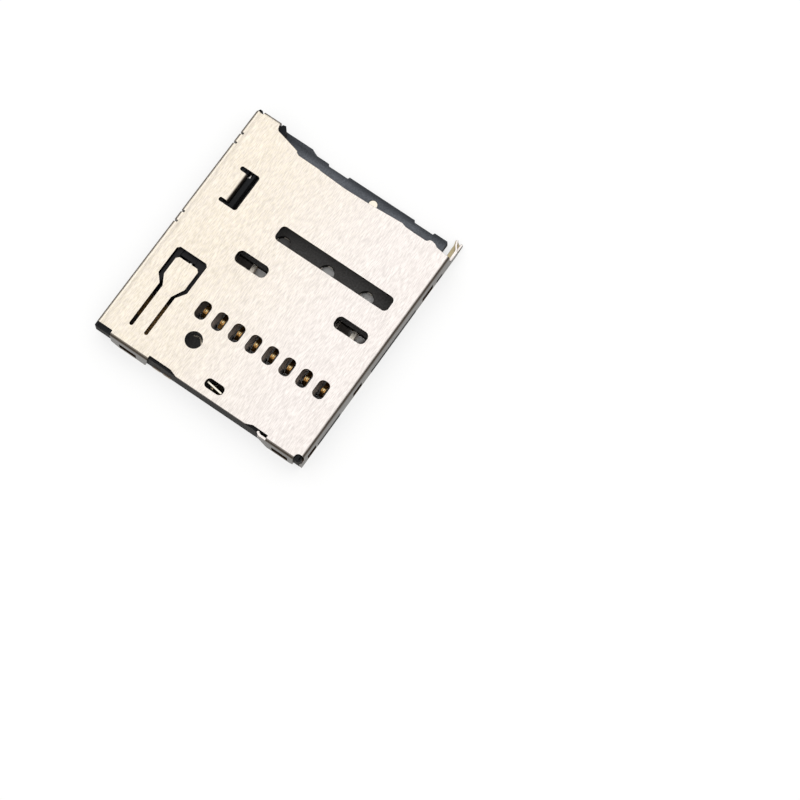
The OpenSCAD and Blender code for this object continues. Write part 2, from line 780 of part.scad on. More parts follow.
// The four-armed pockets round a pilot hole that show the plate behind
module pilot_pockets() {
    for (x = pilot_x) translate([x, pilot_y, 0]) {
        raised(standoff - 1, standoff + 0.04) circle(0.825);
        raised(standoff - 1, strip_z) intersection() {
            circle(0.825);
            union() {
                square([2, 0.33], center = true);
                square([0.33, 2], center = true);
            }
        }
        raised(-1, 2) circle(pilot_r);
    }
    for (x = rear_pilot_x) translate([x, rear_pilot_y, 0]) {
        raised(standoff - 1, standoff + 0.04) circle(0.62);
        raised(standoff - 1, strip_z) intersection() {
            circle(0.62);
            union() {
                rect(-1, 1, -0.12, 0.12);
                rect(-0.13, 0.13, 0, 1);
                rect(-1, 1, -1, -0.38);
            }
        }
        raised(-1, 2) square(2 * rear_hole, center = true);
    }
}

module ring_groove(c, r) {
    translate([c[0], c[1], standoff - 1]) difference() {
        cylinder(r = r, h = 1.06);
        cylinder(r = r - 0.06, h = 3);
    }
}

module floor_openings() {
    for (p = front_dots) translate([p[0], p[1], -1]) cylinder(r = dot_r, h = 3);
    for (p = [[4.3, -2.14], [-4.16, -1.9], [-3.49, -2.54]])
        translate([p[0], p[1], -1]) cylinder(r = 0.27, h = 1 + strip_z);
    for (x = ring_x) {
        raised(-1, strip_z)
            oblong([x, ring_y], ring_slot + [2 * ring_w, 2 * ring_w], ring_slot[1] / 2 + ring_w - eps);
        raised(-1, 2) oblong([x, ring_y], ring_slot, ring_slot[1] / 2 - eps);
    }
    pilot_pockets();
    ring_groove([-3.93, 4.95], 0.45);
    ring_groove([0.55, -2.95], 0.43);
    for (p = [[-3.93, 4.95, 0.15], [0.55, -2.95, 0.16]])
        translate([p[0], p[1], -1]) cylinder(r = p[2], h = 1.25);
    // Shallow band across the pilot holes
    block([lane_in + 0.14, 4.98, -1], [x_right - 0.15, 6.65, standoff + 0.02]);
    raised(-1, 2) difference() {
        rect(-window_side, window_side, window_rear, window_front);
        for (i = [-3.5:1:3.5]) translate([i * pitch, 0]) difference() {
            rect(eps - pitch / 2 + 0.2, pitch / 2 - 0.2 - eps, window_rear - 1, 0);
            translate([0, -0.08]) circle(0.27);
            rect(-0.27, 0.27, -0.08, 1);
        }
    }
}

// Room for the slider, the pin and the shell's lug
module lane_openings() {
    pin_side = 0.06;
    pin_out = pin_d / 2 + pin_side;
    block([lug_x - 0.03, lug_y[0] - 0.03, pin_z], [lug_x + lug_r + 0.03, lug_y[1] + 0.03, 2]);
    block([lug_x, slider_home, roof_z], [lug_x + 1.03, lug_y[1] + 0.33, 2]);
    raised(cam_top, roof_z - roof_t) polygon([
        [bay_left + 1, slider_home], [bay_left + 1, pivot_y - 0.3], [pivot_x + 0.3, pivot_y + pin_out],
        [pivot_x - pin_out, pivot_y + pin_out], [pivot_x - pin_d / 2 - 0.14, slider_home]
    ]);
    raised(cam_top, 2) oblong([pivot_x, lug_y[1] + 0.2], [0.28, 0.5], 0.13);
    translate([pivot_x, pivot_y, pin_z - pin_leg - 0.05]) cylinder(r = pin_d / 2 + 0.02, h = 2);
    block([x_left + 0.2, bay_hole_y[0], -1], [-7.4, bay_hole_y[1], 0.9]);
    translate([-5.85, -3.32, -1]) cylinder(r = 0.08, h = 1.4);
}

// Cuts along the housing's upper edges that clear the inside of the shell's folds
module fold_reliefs() {
    side = fold_r - sheet_t + 0.01;
    rear = 0.06;
    for (x = [in_left, bay_right]) translate([x, (y_front + y_rear) / 2, lid_z]) rotate([0, 45, 0])
        cube([side * sqrt(2), shell_l - 0.3, side * sqrt(2)], center = true);
    for (e = [[wall_1, in_rear], [wall_2, in_rear], [front_wall, y_front - 0.16]])
        translate([e[0][0] - 0.02, e[1], lid_z]) rotate([45, 0, 0])
            translate([0, -rear / sqrt(2), -rear / sqrt(2)])
            cube([e[0][1] - e[0][0] + 0.04, rear * sqrt(2), rear * sqrt(2)]);
}

module housing_body() {
    raised(standoff, floor_top) floor_plan();
    front_block();
    rear_corner();
    block([lane_in, in_rear, standoff], [lane_in + lane_wall, lane_wall_front, lid_z]);
    block([lane_in, in_rear, standoff], [x_right - 0.15, in_rear + rear_wall_t, lid_z]);
    block([-6.24, in_rear, standoff], [-5.64, plate_rear + 0.7, plate_top]);
    side_ledge();
    rear_latches();
}

module housing() {
    place() color([0.2, 0.21, 0.24]) difference() {
        housing_body();
        fold_reliefs();
        floor_openings();
        lane_openings();
        base_plate_solid();
        floor_plate_solid();
        ground_plate_solid();
        raised(-1, pad_t) {
            leaf_pad();
            terminal_pad();
            ground_pad();
        }
        terminal_arm();
        for (n = [1:8]) translate([(4.5 - n) * pitch, 0, strip_z]) linear_extrude(strip_t) contact_plan();
        // Chamber of the detect switch
        block([leaf_x - 0.5, in_rear + 0.08, pad_t], [leaf_x + 0.75, -2.5, 2]);
        block([leaf_head[0] - leaf_head_l / 2 - 0.07, -3.35, leaf_head_z[0] - 0.06], [leaf_x, -2.8, 2]);
        // Open corner round the cap, and under it
        difference() {
            block([wall_2[1], y_rear - 1, post_z], [x_right + 1, right_start, 2]);
            corner_post(0);
        }
        block([wall_2[1], y_rear - 1, -1], [x_right + 1, in_rear, 0.6]);
        // Room for the hook of the second rear wall
        block([2.3, in_rear - 1, 0.8], [wall_2[0], in_rear + 0.13, 2]);
    }
}

// Slider, cam pin and spring

module cam_groove() {
    right = cam_x + pin_d / 2 + lane_gap;
    left = lane_b - pin_d / 2 - lane_gap;
    isl_r = cam_x - pin_d / 2 - lane_gap;
    isl_l = lane_b + pin_d / 2 + lane_gap;
    mid = (isl_r + isl_l) / 2;
    y0 = cam_y - pin_d / 2 - 0.06;
    y1 = cam_y + stroke + pin_d / 2 + 0.1;
    lock = cam_y + lock_travel - pin_d / 2 - lane_gap;
    translate([mid, cam_y + lock_travel]) circle(pin_d / 2 + lane_gap);
    difference() {
        oblong([(right + left) / 2, (y0 + y1) / 2], [right - left, y1 - y0], 0.14);
        polygon([
            [mid, cam_y + 0.3], [isl_r, cam_y + 0.75], [isl_r, lock + 0.1],
            [isl_r - 0.03, lock + 0.12], [mid, lock - 0.02], [isl_l + 0.03, lock + 0.16],
            [isl_l, lock + 0.14], [isl_l, cam_y + 0.75]
        ]);
    }
}

module slider() {
    out = in_left + 0.07;
    inner = lane_in - slide_gap;
    low = cam_x + pin_d / 2 + 0.1;
    high = lid_z - 0.06;
    roof_y = cam_y + 0.9;
    place() color([0.16, 0.17, 0.19]) difference() {
        union() {
            block([spring_wall, slider_rear, slider_z], [inner, slider_home, cam_top]);
            block([spring_wall, slider_rear, cam_top - eps],
                [lane_b - pin_d / 2 - lane_gap, slider_home, high]);
            block([low, slider_rear + 0.5, cam_top - eps], [inner, slider_home, high - 0.03]);
            block([spring_wall, roof_y, roof_z - roof_t], [inner, slider_home, roof_z]);
            block([in_left + sheet_t + slide_gap, spring_front, slider_z],
                [spring_wall + eps, slider_home, high]);
            block([out, spring_front, plate_lip_z + slide_gap], [spring_wall + eps, slider_home, high]);
        }
        raised(groove_z, roof_z - roof_t) cam_groove();
        // Lead-in at the corner that meets the card's shoulder
        translate([inner, slider_home, 0]) rotate([0, 0, 45]) cube([0.3, 0.3, 4], center = true);
        translate([inner, slider_rear, 0]) rotate([0, 0, 45]) cube([0.3, 0.3, 4], center = true);
    }
}

module cam_pin() {
    shank = norm([cam_x - pivot_x, cam_y - pivot_y]);
    turn = atan2(cam_y - pivot_y, cam_x - pivot_x);
    place() color([0.75, 0.75, 0.78]) translate([pivot_x, pivot_y, pin_z]) rotate([0, 0, turn]) {
        translate([pin_bend, 0, 0]) rotate([0, 90, 0]) cylinder(d = pin_d, h = shank - 2 * pin_bend);
        for (e = [0, 1]) translate([e * shank, 0, 0]) mirror([e, 0, 0]) {
            translate([pin_bend, 0, -pin_bend]) rotate([90, 0, 0]) rotate([0, 0, 90])
                rotate_extrude(angle = 90) translate([pin_bend, 0]) circle(d = pin_d);
            translate([0, 0, -pin_leg]) cylinder(d = pin_d, h = pin_leg - pin_bend);
        }
    }
}

// Height along the coil after t turns, with a closed turn at each end
function coil_at(t, len) =
    let (closed = spring_wire * 1.15, n = spring_turns, rise = (len - spring_wire - 2 * closed) / (n - 2))
    t < 1 ? t * closed
    : t > n - 1 ? closed + (n - 2) * rise + (t - n + 1) * closed
    : closed + (t - 1) * rise;

function coil_ring(t, len, r, sides) = [
    for (k = [0:sides - 1]) let (a = 360 * t, b = 360 * k / sides, q = r + spring_wire / 2 * cos(b))
        [q * cos(a), coil_at(t, len) + spring_wire / 2 * sin(b), q * sin(a)]
];

module eject_spring() {
    steps = 16;
    sides = 8;
    rings = spring_turns * steps + 1;
    len = spring_front - spring_seat - 2 * lane_gap;
    r = (spring_od - spring_wire) / 2;
    pts = [for (i = [0:rings - 1]) each coil_ring(i / steps, len, r, sides)];
    walls = [
        for (i = [0:rings - 2], k = [0:sides - 1])
            [i * sides + k, i * sides + (k + 1) % sides,
                (i + 1) * sides + (k + 1) % sides, (i + 1) * sides + k]
    ];
    ends = [
        [for (k = [sides - 1:-1:0]) k],
        [for (k = [0:sides - 1]) (rings - 1) * sides + k]
    ];
    place() color([0.7, 0.7, 0.72])
        translate([spring_x, spring_seat + lane_gap + spring_wire / 2, spring_z])
            polyhedron(pts, concat(walls, ends), convexity = 8);
}

cover_shell();
housing();
slider_base_plate();
floor_plate();
ground_plate();
contact_1();
contact_2();
contact_3();
contact_4();
contact_5();
contact_6();
contact_7();
contact_8();
switch_leaf();
switch_terminal();
ground_terminal();
slider();
cam_pin();
eject_spring();
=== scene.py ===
"""Dresses the packed card connector: its sheet metal, moulded plastic, plated contacts, spring and stage."""
import math

import bmesh
import bpy
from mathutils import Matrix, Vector


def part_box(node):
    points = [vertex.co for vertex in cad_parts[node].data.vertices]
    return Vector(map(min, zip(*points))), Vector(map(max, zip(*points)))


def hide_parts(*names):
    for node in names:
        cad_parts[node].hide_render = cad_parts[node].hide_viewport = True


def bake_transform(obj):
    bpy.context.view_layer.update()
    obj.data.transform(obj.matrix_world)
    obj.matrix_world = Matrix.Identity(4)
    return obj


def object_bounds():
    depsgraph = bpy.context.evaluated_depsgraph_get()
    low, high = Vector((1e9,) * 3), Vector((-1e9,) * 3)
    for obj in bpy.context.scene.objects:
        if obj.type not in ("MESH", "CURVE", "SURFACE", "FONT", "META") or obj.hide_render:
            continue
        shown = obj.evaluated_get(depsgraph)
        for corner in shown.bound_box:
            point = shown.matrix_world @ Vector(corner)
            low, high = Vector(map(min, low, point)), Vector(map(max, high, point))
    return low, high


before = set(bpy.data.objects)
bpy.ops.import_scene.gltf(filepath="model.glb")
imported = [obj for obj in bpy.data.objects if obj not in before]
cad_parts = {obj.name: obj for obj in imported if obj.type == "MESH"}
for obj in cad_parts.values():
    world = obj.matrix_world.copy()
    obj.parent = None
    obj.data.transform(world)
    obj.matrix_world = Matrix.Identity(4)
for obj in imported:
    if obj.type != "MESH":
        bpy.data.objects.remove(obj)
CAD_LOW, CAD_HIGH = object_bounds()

bl_info = {
    "name": "Card Connector Finishes",
    "version": (1, 0, 0),
    "blender": (4, 5, 0),
    "location": "View3D > Sidebar > Connector",
    "description": "Finishes, edge rounding, spring and studio stage for a small card connector",
    "category": "Material",
}

MM = 0.001
CONTACT_NAMES = [f"contact_{n}" for n in range(1, 9)]
# How far the foot stands out ahead of the tray, and where the corner beside it starts on both axes
FOOT_REACH = 0.45 * MM
FOOT_CORNER = 5.9 * MM
TRAY_FRONT = CAD_HIGH[1] - FOOT_REACH
# Where the cover's top turns down on the slider's side, and the height of its inner face
SLIDER_FOLD = CAD_LOW[0] + 0.53 * MM
UNDER_TOP = CAD_HIGH[2] - 0.15 * MM
# Where a finish or a painted shade changes along one axis: the place it starts and the place it is complete
WARM_SIDE = (5.0 * MM, -5.5 * MM)
FOOT_TOP = (0.2 * MM, 0.14 * MM)
TRAY_SLIDER_SIDE = (1.5 * MM, -2.5 * MM)
TRAY_COVERED = (4.2 * MM, 3.2 * MM)
TRAY_SHADED_TOPS = (0.55 * MM, 0.75 * MM)
STRIP_SHADED = (-0.5 * MM, -0.9 * MM)
# Heights above which the contacts are their raised ends, and then the beads that the card rubs on
CONTACT_END = 0.5 * MM
CONTACT_BEAD = 0.83 * MM
# Painted pools of light on the floor, where daylight comes through the slots and pilots: X, Y, radius and
# strength
DAYLIT = ((-1.3 * MM, 0.15 * MM, 0.7 * MM, 1.0), (4.95 * MM, 0.2 * MM, 0.6 * MM, 1.0),
          (1.65 * MM, 2.2 * MM, 0.8 * MM, 0.9), (4.2 * MM, 2.2 * MM, 0.8 * MM, 0.9),
          (-1.3 * MM, 2.4 * MM, 0.8 * MM, 0.25))
# Painted strip of light on the floor under the openings over the contacts: rear, front and strength
DAYLIT_STRIP = (-4.3 * MM, -2.3 * MM, 0.5)
# Lamps: name, property that holds the power, side of the square and place, in metres
LAMPS = (("key", "key_power", 0.16, (-0.17, 0.05, 0.16)),
         ("fill", "fill_power", 0.2, (0.06, 0.16, 0.2)))
# The middle of a noise's values, where most of them lie
NOISE_LOW, NOISE_HIGH = 0.3, 0.7


# Settings

class ShellSettings(bpy.types.PropertyGroup):
    """Look of the folded cover."""

    face_colour: bpy.props.FloatVectorProperty(
        name="Face Colour", description="Rolled face of the sheet on the broad top",
        subtype="COLOR", default=(0.985, 0.924, 0.885), min=0, max=1)
    warm_colour: bpy.props.FloatVectorProperty(
        name="Warm Colour", description="Warmer tint that the sheet takes towards the slider's side",
        subtype="COLOR", default=(0.95, 0.862, 0.712), min=0, max=1)
    # Painted shade on the upright walls
    wall_shade_colour: bpy.props.FloatVectorProperty(
        name="Wall Colour", description="Folded walls and rolled-over edges",
        subtype="COLOR", default=(0.125, 0.115, 0.102), min=0, max=1)
    inner_colour: bpy.props.FloatVectorProperty(
        name="Inner Colour", description="Unlit inner face of the top and the cut rims of its openings",
        subtype="COLOR", default=(0.09, 0.056, 0.034), min=0, max=1)
    # Bright sheared metal with a painted highlight on the sheet's edges
    cut_edge_highlight_colour: bpy.props.FloatVectorProperty(
        name="Cut Edge Colour", description="Bright sheared edge of the sheet",
        subtype="COLOR", default=(0.95, 0.93, 0.88), min=0, max=1)
    # Painted shade on the flat foot
    foot_shade_colour: bpy.props.FloatVectorProperty(
        name="Foot Colour", description="Flat foot on the board, tan with painted shade",
        subtype="COLOR", default=(0.5, 0.42, 0.26), min=0, max=1)
    # Painted shade along the folds, also used on the edges at the foot
    fold_shade_colour: bpy.props.FloatVectorProperty(
        name="Fold Colour", description="Dark line that runs over the folds",
        subtype="COLOR", default=(0.1, 0.08, 0.062), min=0, max=1)
    pink_colour: bpy.props.FloatVectorProperty(
        name="Mottle Colour", description="Cooler, pinker tint of the sheet's mottling",
        subtype="COLOR", default=(0.985, 0.9, 0.89), min=0, max=1)
    mottle_size: bpy.props.FloatProperty(
        name="Mottle Size", description="Size of one patch of the sheet's mottling",
        subtype="DISTANCE", default=0.15 * MM, min=0.01 * MM)
    streak_width: bpy.props.FloatProperty(
        name="Streak Width", description="Width of one streak of the rolling grain",
        subtype="DISTANCE", default=0.04 * MM, min=0.005 * MM)
    streak_length: bpy.props.FloatProperty(
        name="Streak Length", description="Length of one streak of the rolling grain",
        subtype="DISTANCE", default=0.36 * MM, min=0.02 * MM)
    edge_radius: bpy.props.FloatProperty(
        name="Edge Radius", description="Rounding of the sheet's edges",
        subtype="DISTANCE", default=0.018 * MM, min=0, max=0.05 * MM)


class PlasticSettings(bpy.types.PropertyGroup):
    """Look of the moulded housing and slider."""

    body_colour: bpy.props.FloatVectorProperty(
        name="Housing Colour", description="Filled black plastic of the housing",
        subtype="COLOR", default=(0.062, 0.067, 0.076), min=0, max=1)
    shade_colour: bpy.props.FloatVectorProperty(
        name="Shade Colour", description="Plastic under the cover, out of the daylight",
        subtype="COLOR", default=(0.044, 0.041, 0.038), min=0, max=1)
    slider_colour: bpy.props.FloatVectorProperty(
        name="Slider Colour", description="Unfilled black plastic of the slider",
        subtype="COLOR", default=(0.012, 0.012, 0.014), min=0, max=1)
    flow_length: bpy.props.FloatProperty(
        name="Flow Mark Length", description="Length of the pale flow marks in the moulding",
        subtype="DISTANCE", default=1.6 * MM, min=0.1 * MM)
    edge_radius: bpy.props.FloatProperty(
        name="Edge Radius", description="Rounding of the moulded edges",
        subtype="DISTANCE", default=0.02 * MM, min=0, max=0.05 * MM)


class PlatingSettings(bpy.types.PropertyGroup):
    """Look of the strip metal under the card."""

    gold_colour: bpy.props.FloatVectorProperty(
        name="Gold Colour", description="Thin gold plating",
        subtype="COLOR", default=(0.94, 0.63, 0.235), min=0, max=1)
    silver_colour: bpy.props.FloatVectorProperty(
        name="Nickel Colour", description="Bare nickel between the gold bands",
        subtype="COLOR", default=(0.8, 0.76, 0.69), min=0, max=1)
    front_band_start: bpy.props.FloatProperty(
        name="Front Band Start", description="Where the gold band across the solder tails starts",
        subtype="DISTANCE", default=-1.305 * MM)
    front_band_end: bpy.props.FloatProperty(
        name="Front Band End", description="Where the gold band across the solder tails ends",
        subtype="DISTANCE", default=0.795 * MM)
    rear_band_end: bpy.props.FloatProperty(
        name="Rear Band End", description="Where the gold of the rear end stops",
        subtype="DISTANCE", default=-4.365 * MM)
    # Painted highlight on the terminals' upper faces
    terminal_highlight_colour: bpy.props.FloatVectorProperty(
        name="Terminal Highlight Colour", description="Painted highlight on the upper faces of the gold terminals",
        subtype="COLOR", default=(1.0, 0.95, 0.82), min=0, max=1)
    # Painted highlight on the strip's edges
    edge_highlight_colour: bpy.props.FloatVectorProperty(
        name="Edge Highlight Colour", description="Painted highlight that the strip's edges are half mixed to",
        subtype="COLOR", default=(1.0, 0.97, 0.9), min=0, max=1)
    worn_tint: bpy.props.FloatVectorProperty(
        name="Worn Tint", description="Tint of dull patches and streaks",
        subtype="COLOR", default=(0.62, 0.56, 0.5), min=0, max=1)
    # Painted shade on the strip metal under the cover
    strip_shade_tint: bpy.props.FloatVectorProperty(
        name="Strip Shade Tint", description="Tint of the painted shade under the cover",
        subtype="COLOR", default=(0.5, 0.44, 0.42), min=0, max=1)
    # Painted highlight on up-facing faces above the painted shade
    top_highlight_colour: bpy.props.FloatVectorProperty(
        name="Top Highlight Colour", description="Painted highlight on the rim of the floor plate",
        subtype="COLOR", default=(1.0, 0.93, 0.8), min=0, max=1)
    tip_colour: bpy.props.FloatVectorProperty(
        name="Tip Colour", description="Shaded gold of the contact ends",
        subtype="COLOR", default=(0.66, 0.34, 0.1), min=0, max=1)
    # Painted highlight on the contact points
    bead_highlight_colour: bpy.props.FloatVectorProperty(
        name="Bead Highlight Colour", description="Painted highlight on the gold of the contact points",
        subtype="COLOR", default=(1.0, 0.8, 0.42), min=0, max=1)
    contact_shade_top: bpy.props.FloatProperty(
        name="Contact Shade Top", description="Height up to which the contacts get painted shade",
        subtype="DISTANCE", default=0.62 * MM)
    plate_shade_top: bpy.props.FloatProperty(
        name="Plate Shade Top", description="Height up to which the plates get painted shade",
        subtype="DISTANCE", default=0.4 * MM)
    tip_height: bpy.props.FloatProperty(
        name="Tip Height", description="Height above which the contact ends are gold",
        subtype="DISTANCE", default=0.56 * MM)
    edge_radius: bpy.props.FloatProperty(
        name="Edge Radius", description="Rounding of the strip's sheared edges",
        subtype="DISTANCE", default=0.01 * MM, min=0, max=0.03 * MM)


class SpringSettings(bpy.types.PropertyGroup):
    """Shape and steel of the wound spring that pushes the slider out."""

    steel_colour: bpy.props.FloatVectorProperty(
        name="Steel Colour", description="Drawn steel of the spring and the cam pin",
        subtype="COLOR", default=(0.66, 0.65, 0.63), min=0, max=1)
    dull_colour: bpy.props.FloatVectorProperty(
        name="Dull Colour", description="Duller patches of the same steel",
        subtype="COLOR", default=(0.4, 0.38, 0.35), min=0, max=1)
    wire: bpy.props.FloatProperty(
        name="Wire", description="Diameter of the wire",
        subtype="DISTANCE", default=0.125 * MM, min=0.02 * MM)
    turns: bpy.props.IntProperty(
        name="Turns", description="Turns from end to end", default=17, min=4, max=40)
    steps: bpy.props.IntProperty(
        name="Steps per Turn", description="Sections of wire in each turn", default=36, min=12, max=96)
    sides: bpy.props.IntProperty(
        name="Sides", description="Sides of the wire's section", default=12, min=6, max=32)


class StageSettings(bpy.types.PropertyGroup):
    """Camera, lamps and floor."""

    azimuth: bpy.props.FloatProperty(
        name="Azimuth", description="Camera direction round the upright, from the rear",
        subtype="ANGLE", default=math.radians(34.861))
    elevation: bpy.props.FloatProperty(
        name="Elevation", description="Camera direction above the floor",
        subtype="ANGLE", default=math.radians(73.832))
    distance: bpy.props.FloatProperty(
        name="Distance", description="From the camera to the point it looks at",
        subtype="DISTANCE", default=159.887 * MM)
    aim: bpy.props.FloatVectorProperty(
        name="Aim", description="Point on the floor that the camera looks at",
        subtype="TRANSLATION", default=(8.844 * MM, -1.448 * MM, 0))
    lens: bpy.props.FloatProperty(
        name="Lens", description="Focal length", unit="CAMERA", default=135, min=20, max=300)
    key_power: bpy.props.FloatProperty(
        name="Key Power", description="Lamp on the slider's side", unit="POWER", default=0.06, min=0)
    fill_power: bpy.props.FloatProperty(
        name="Fill Power", description="Broad lamp above the card's way in",
        unit="POWER", default=0.05, min=0)
    sky_strength: bpy.props.FloatProperty(
        name="Sky Strength", description="Level of the pale surround", default=1.1, min=0, max=2)
    sky_colour: bpy.props.FloatVectorProperty(
        name="Sky Colour", description="Colour of the pale surround",
        subtype="COLOR", default=(1.0, 0.995, 0.985), min=0, max=1)
    floor_radius: bpy.props.FloatProperty(
        name="Floor Radius", description="Radius of the card that the part lies on",
        subtype="DISTANCE", default=1.5, min=0.1)
    floor_colour: bpy.props.FloatVectorProperty(
        name="Floor Colour", description="Pale card that the part lies on",
        subtype="COLOR", default=(0.96, 0.96, 0.96), min=0, max=1)
    shade_colour: bpy.props.FloatVectorProperty(
        name="Shade Colour", description="The same card in the shade under the part",
        subtype="COLOR", default=(0.085, 0.075, 0.07), min=0, max=1)


# Shader helpers

def add_node(tree, kind, sockets=None, **options):
    """Adds a node, sets its options, and fills or links its inputs."""
    node = tree.nodes.new(kind)
    for name, value in options.items():
        setattr(node, name, value)
    for key, value in (sockets or {}).items():
        feed(tree, node.inputs[key], value)
    return node


def feed(tree, socket, value):
    """Links an input to another node's output, or sets it to a plain value."""
    if isinstance(value, bpy.types.NodeSocket):
        tree.links.new(value, socket)
    else:
        socket.default_value = value


def math_node(tree, operation, first, second=0.0, clamp=False):
    """One arithmetic step; returns its output."""
    sockets = {0: first, 1: second}
    return add_node(tree, "ShaderNodeMath", sockets, operation=operation, use_clamp=clamp).outputs[0]


def times(tree, first, *others):
    """The product of all its values."""
    for other in others:
        first = math_node(tree, "MULTIPLY", first, other)
    return first


def opposite(tree, mask):
    """0 where a mask is 1, and 1 where it is 0."""
    return math_node(tree, "SUBTRACT", 1.0, mask)


def step_node(tree, value, low, high, to_low=0.0, to_high=1.0):
    """Smooth step from to_low to to_high as value goes from low to high."""
    sockets = {"Value": value, "From Min": low, "From Max": high, "To Min": to_low, "To Max": to_high}
    return add_node(tree, "ShaderNodeMapRange", sockets, interpolation_type="SMOOTHSTEP").outputs["Result"]


def spread(tree, noise, to_low, to_high):
    """Stretches the middle of a noise from to_low to to_high."""
    return step_node(tree, noise, NOISE_LOW, NOISE_HIGH, to_low, to_high)


def mix_colour(tree, factor, first, second, blend="MIX"):
    """Mixes two colours; returns the result."""
    node = tree.nodes.new("ShaderNodeMix")
    node.data_type = "RGBA"
    node.blend_type = blend
    for index, value in ((0, factor), (6, first), (7, second)):
        feed(tree, node.inputs[index], value)
    return node.outputs[2]


def toned(tree, colour, value):
    """A colour made darker or paler by one value."""
    grey = add_node(tree, "ShaderNodeCombineXYZ", {"X": value, "Y": value, "Z": value}).outputs[0]
    return mix_colour(tree, 1.0, colour, grey, blend="MULTIPLY")


def part_place(tree):
    """Place in the part's own coordinates."""
    return add_node(tree, "ShaderNodeTexCoord").outputs["Object"]


def axis_of(tree, output, axis):
    """One axis of the part's own coordinates, or of its normals."""
    place = add_node(tree, "ShaderNodeTexCoord").outputs[output]
    return add_node(tree, "ShaderNodeSeparateXYZ", {0: place}).outputs[axis]


def zone(tree, axis, start, full, off=0.0, on=1.0):
    """Goes from off to on between two places along an axis."""
    return step_node(tree, axis_of(tree, "Object", axis), start, full, off, on)


def slope(tree, axis, start, full):
    """Goes from 0 to 1 between two slopes, where a slope of 1 looks straight along the axis."""
    return step_node(tree, axis_of(tree, "Normal", axis), start, full)


def level(tree, start, full):
    """Goes from 0 on upright faces to 1 on level ones, whether they look up or down."""
    return step_node(tree, math_node(tree, "ABSOLUTE", axis_of(tree, "Normal", "Z")), start, full)


def in_steps(tree, place, x, y, z):
    """A place counted in steps of x, y and z."""
    size = add_node(tree, "ShaderNodeCombineXYZ", {"X": x, "Y": y, "Z": z}).outputs[0]
    return add_node(tree, "ShaderNodeVectorMath", {0: place, 1: size}, operation="DIVIDE").outputs[0]


def noise_at(tree, place, scale=1.0, **sockets):
    """Grey noise at a place."""
    sockets.update(Vector=place, Scale=scale)
    return add_node(tree, "ShaderNodeTexNoise", sockets).outputs["Fac"]


def rgba(colour, gain=1.0):
    """A property's colour times a gain, with full alpha."""
    return (colour[0] * gain, colour[1] * gain, colour[2] * gain, 1.0)


def new_group(name, inputs, outputs):
    """An empty shader group with named inputs and outputs, and its two ends."""
    tree = bpy.data.node_groups.new(name, "ShaderNodeTree")
    for label, default in inputs.items():
        socket = tree.interface.new_socket(label, in_out="INPUT", socket_type="NodeSocketFloat")
        socket.default_value = default
    for label in outputs:
        tree.interface.new_socket(label, in_out="OUTPUT", socket_type="NodeSocketFloat")
    return tree, tree.nodes.new("NodeGroupInput"), tree.nodes.new("NodeGroupOutput")


def use_group(tree, name, **sockets):
    """Places a shader group and sets its inputs."""
    node = tree.nodes.new("ShaderNodeGroup")
    node.node_tree = bpy.data.node_groups[name]
    for key, value in sockets.items():
        feed(tree, node.inputs[key.replace("_", " ").title()], value)
    return node


def soft_patches(tree, patch_size, contrast):
    """Places the patches and returns their mask."""
    return use_group(tree, "Soft Patches", patch_size=patch_size, contrast=contrast).outputs["Patches"]


def hairlines(tree, spacing, amount):
    """Places the scratches and returns their mask."""
    return use_group(tree, "Hairlines", spacing=spacing, amount=amount).outputs["Lines"]


def sheared_edge(tree, reach):
    """Places the edge finder and returns its mask."""
    return use_group(tree, "Sheared Edge", reach=reach).outputs["Edge"]


# Shader groups

def grain_group():
    """Fine streaks that run along the part, as rolling leaves them, and broad ones."""
    tree, entry, leave = new_group(
        "Rolling Grain", {"Streak Width": 0.045 * MM, "Streak Length": 0.5 * MM}, ["Streaks", "Broad"])
    broad_share = 0.16
    width, length = entry.outputs["Streak Width"], entry.outputs["Streak Length"]
    fine = in_steps(tree, part_place(tree), width, length, width)
    streaks = noise_at(tree, fine, Detail=4.0, Roughness=0.62)
    wide = add_node(tree, "ShaderNodeVectorMath", {0: fine, "Scale": broad_share}, operation="SCALE")
    broad = noise_at(tree, wide.outputs[0], Detail=2.0)
    tree.links.new(streaks, leave.inputs["Streaks"])
    tree.links.new(broad, leave.inputs["Broad"])


def edge_group():
    """Finds where two faces meet, for brighter or worn edges."""
    tree, entry, leave = new_group("Sheared Edge", {"Reach": 0.03 * MM}, ["Edge"])
    flat_match, edge_match = 0.995, 0.86
    soft = add_node(tree, "ShaderNodeBevel", {"Radius": entry.outputs["Reach"]}, samples=6).outputs[0]
    true = add_node(tree, "ShaderNodeNewGeometry").outputs["Normal"]
    match = add_node(tree, "ShaderNodeVectorMath", {0: soft, 1: true}, operation="DOT_PRODUCT")
    tree.links.new(step_node(tree, match.outputs["Value"], flat_match, edge_match), leave.inputs["Edge"])


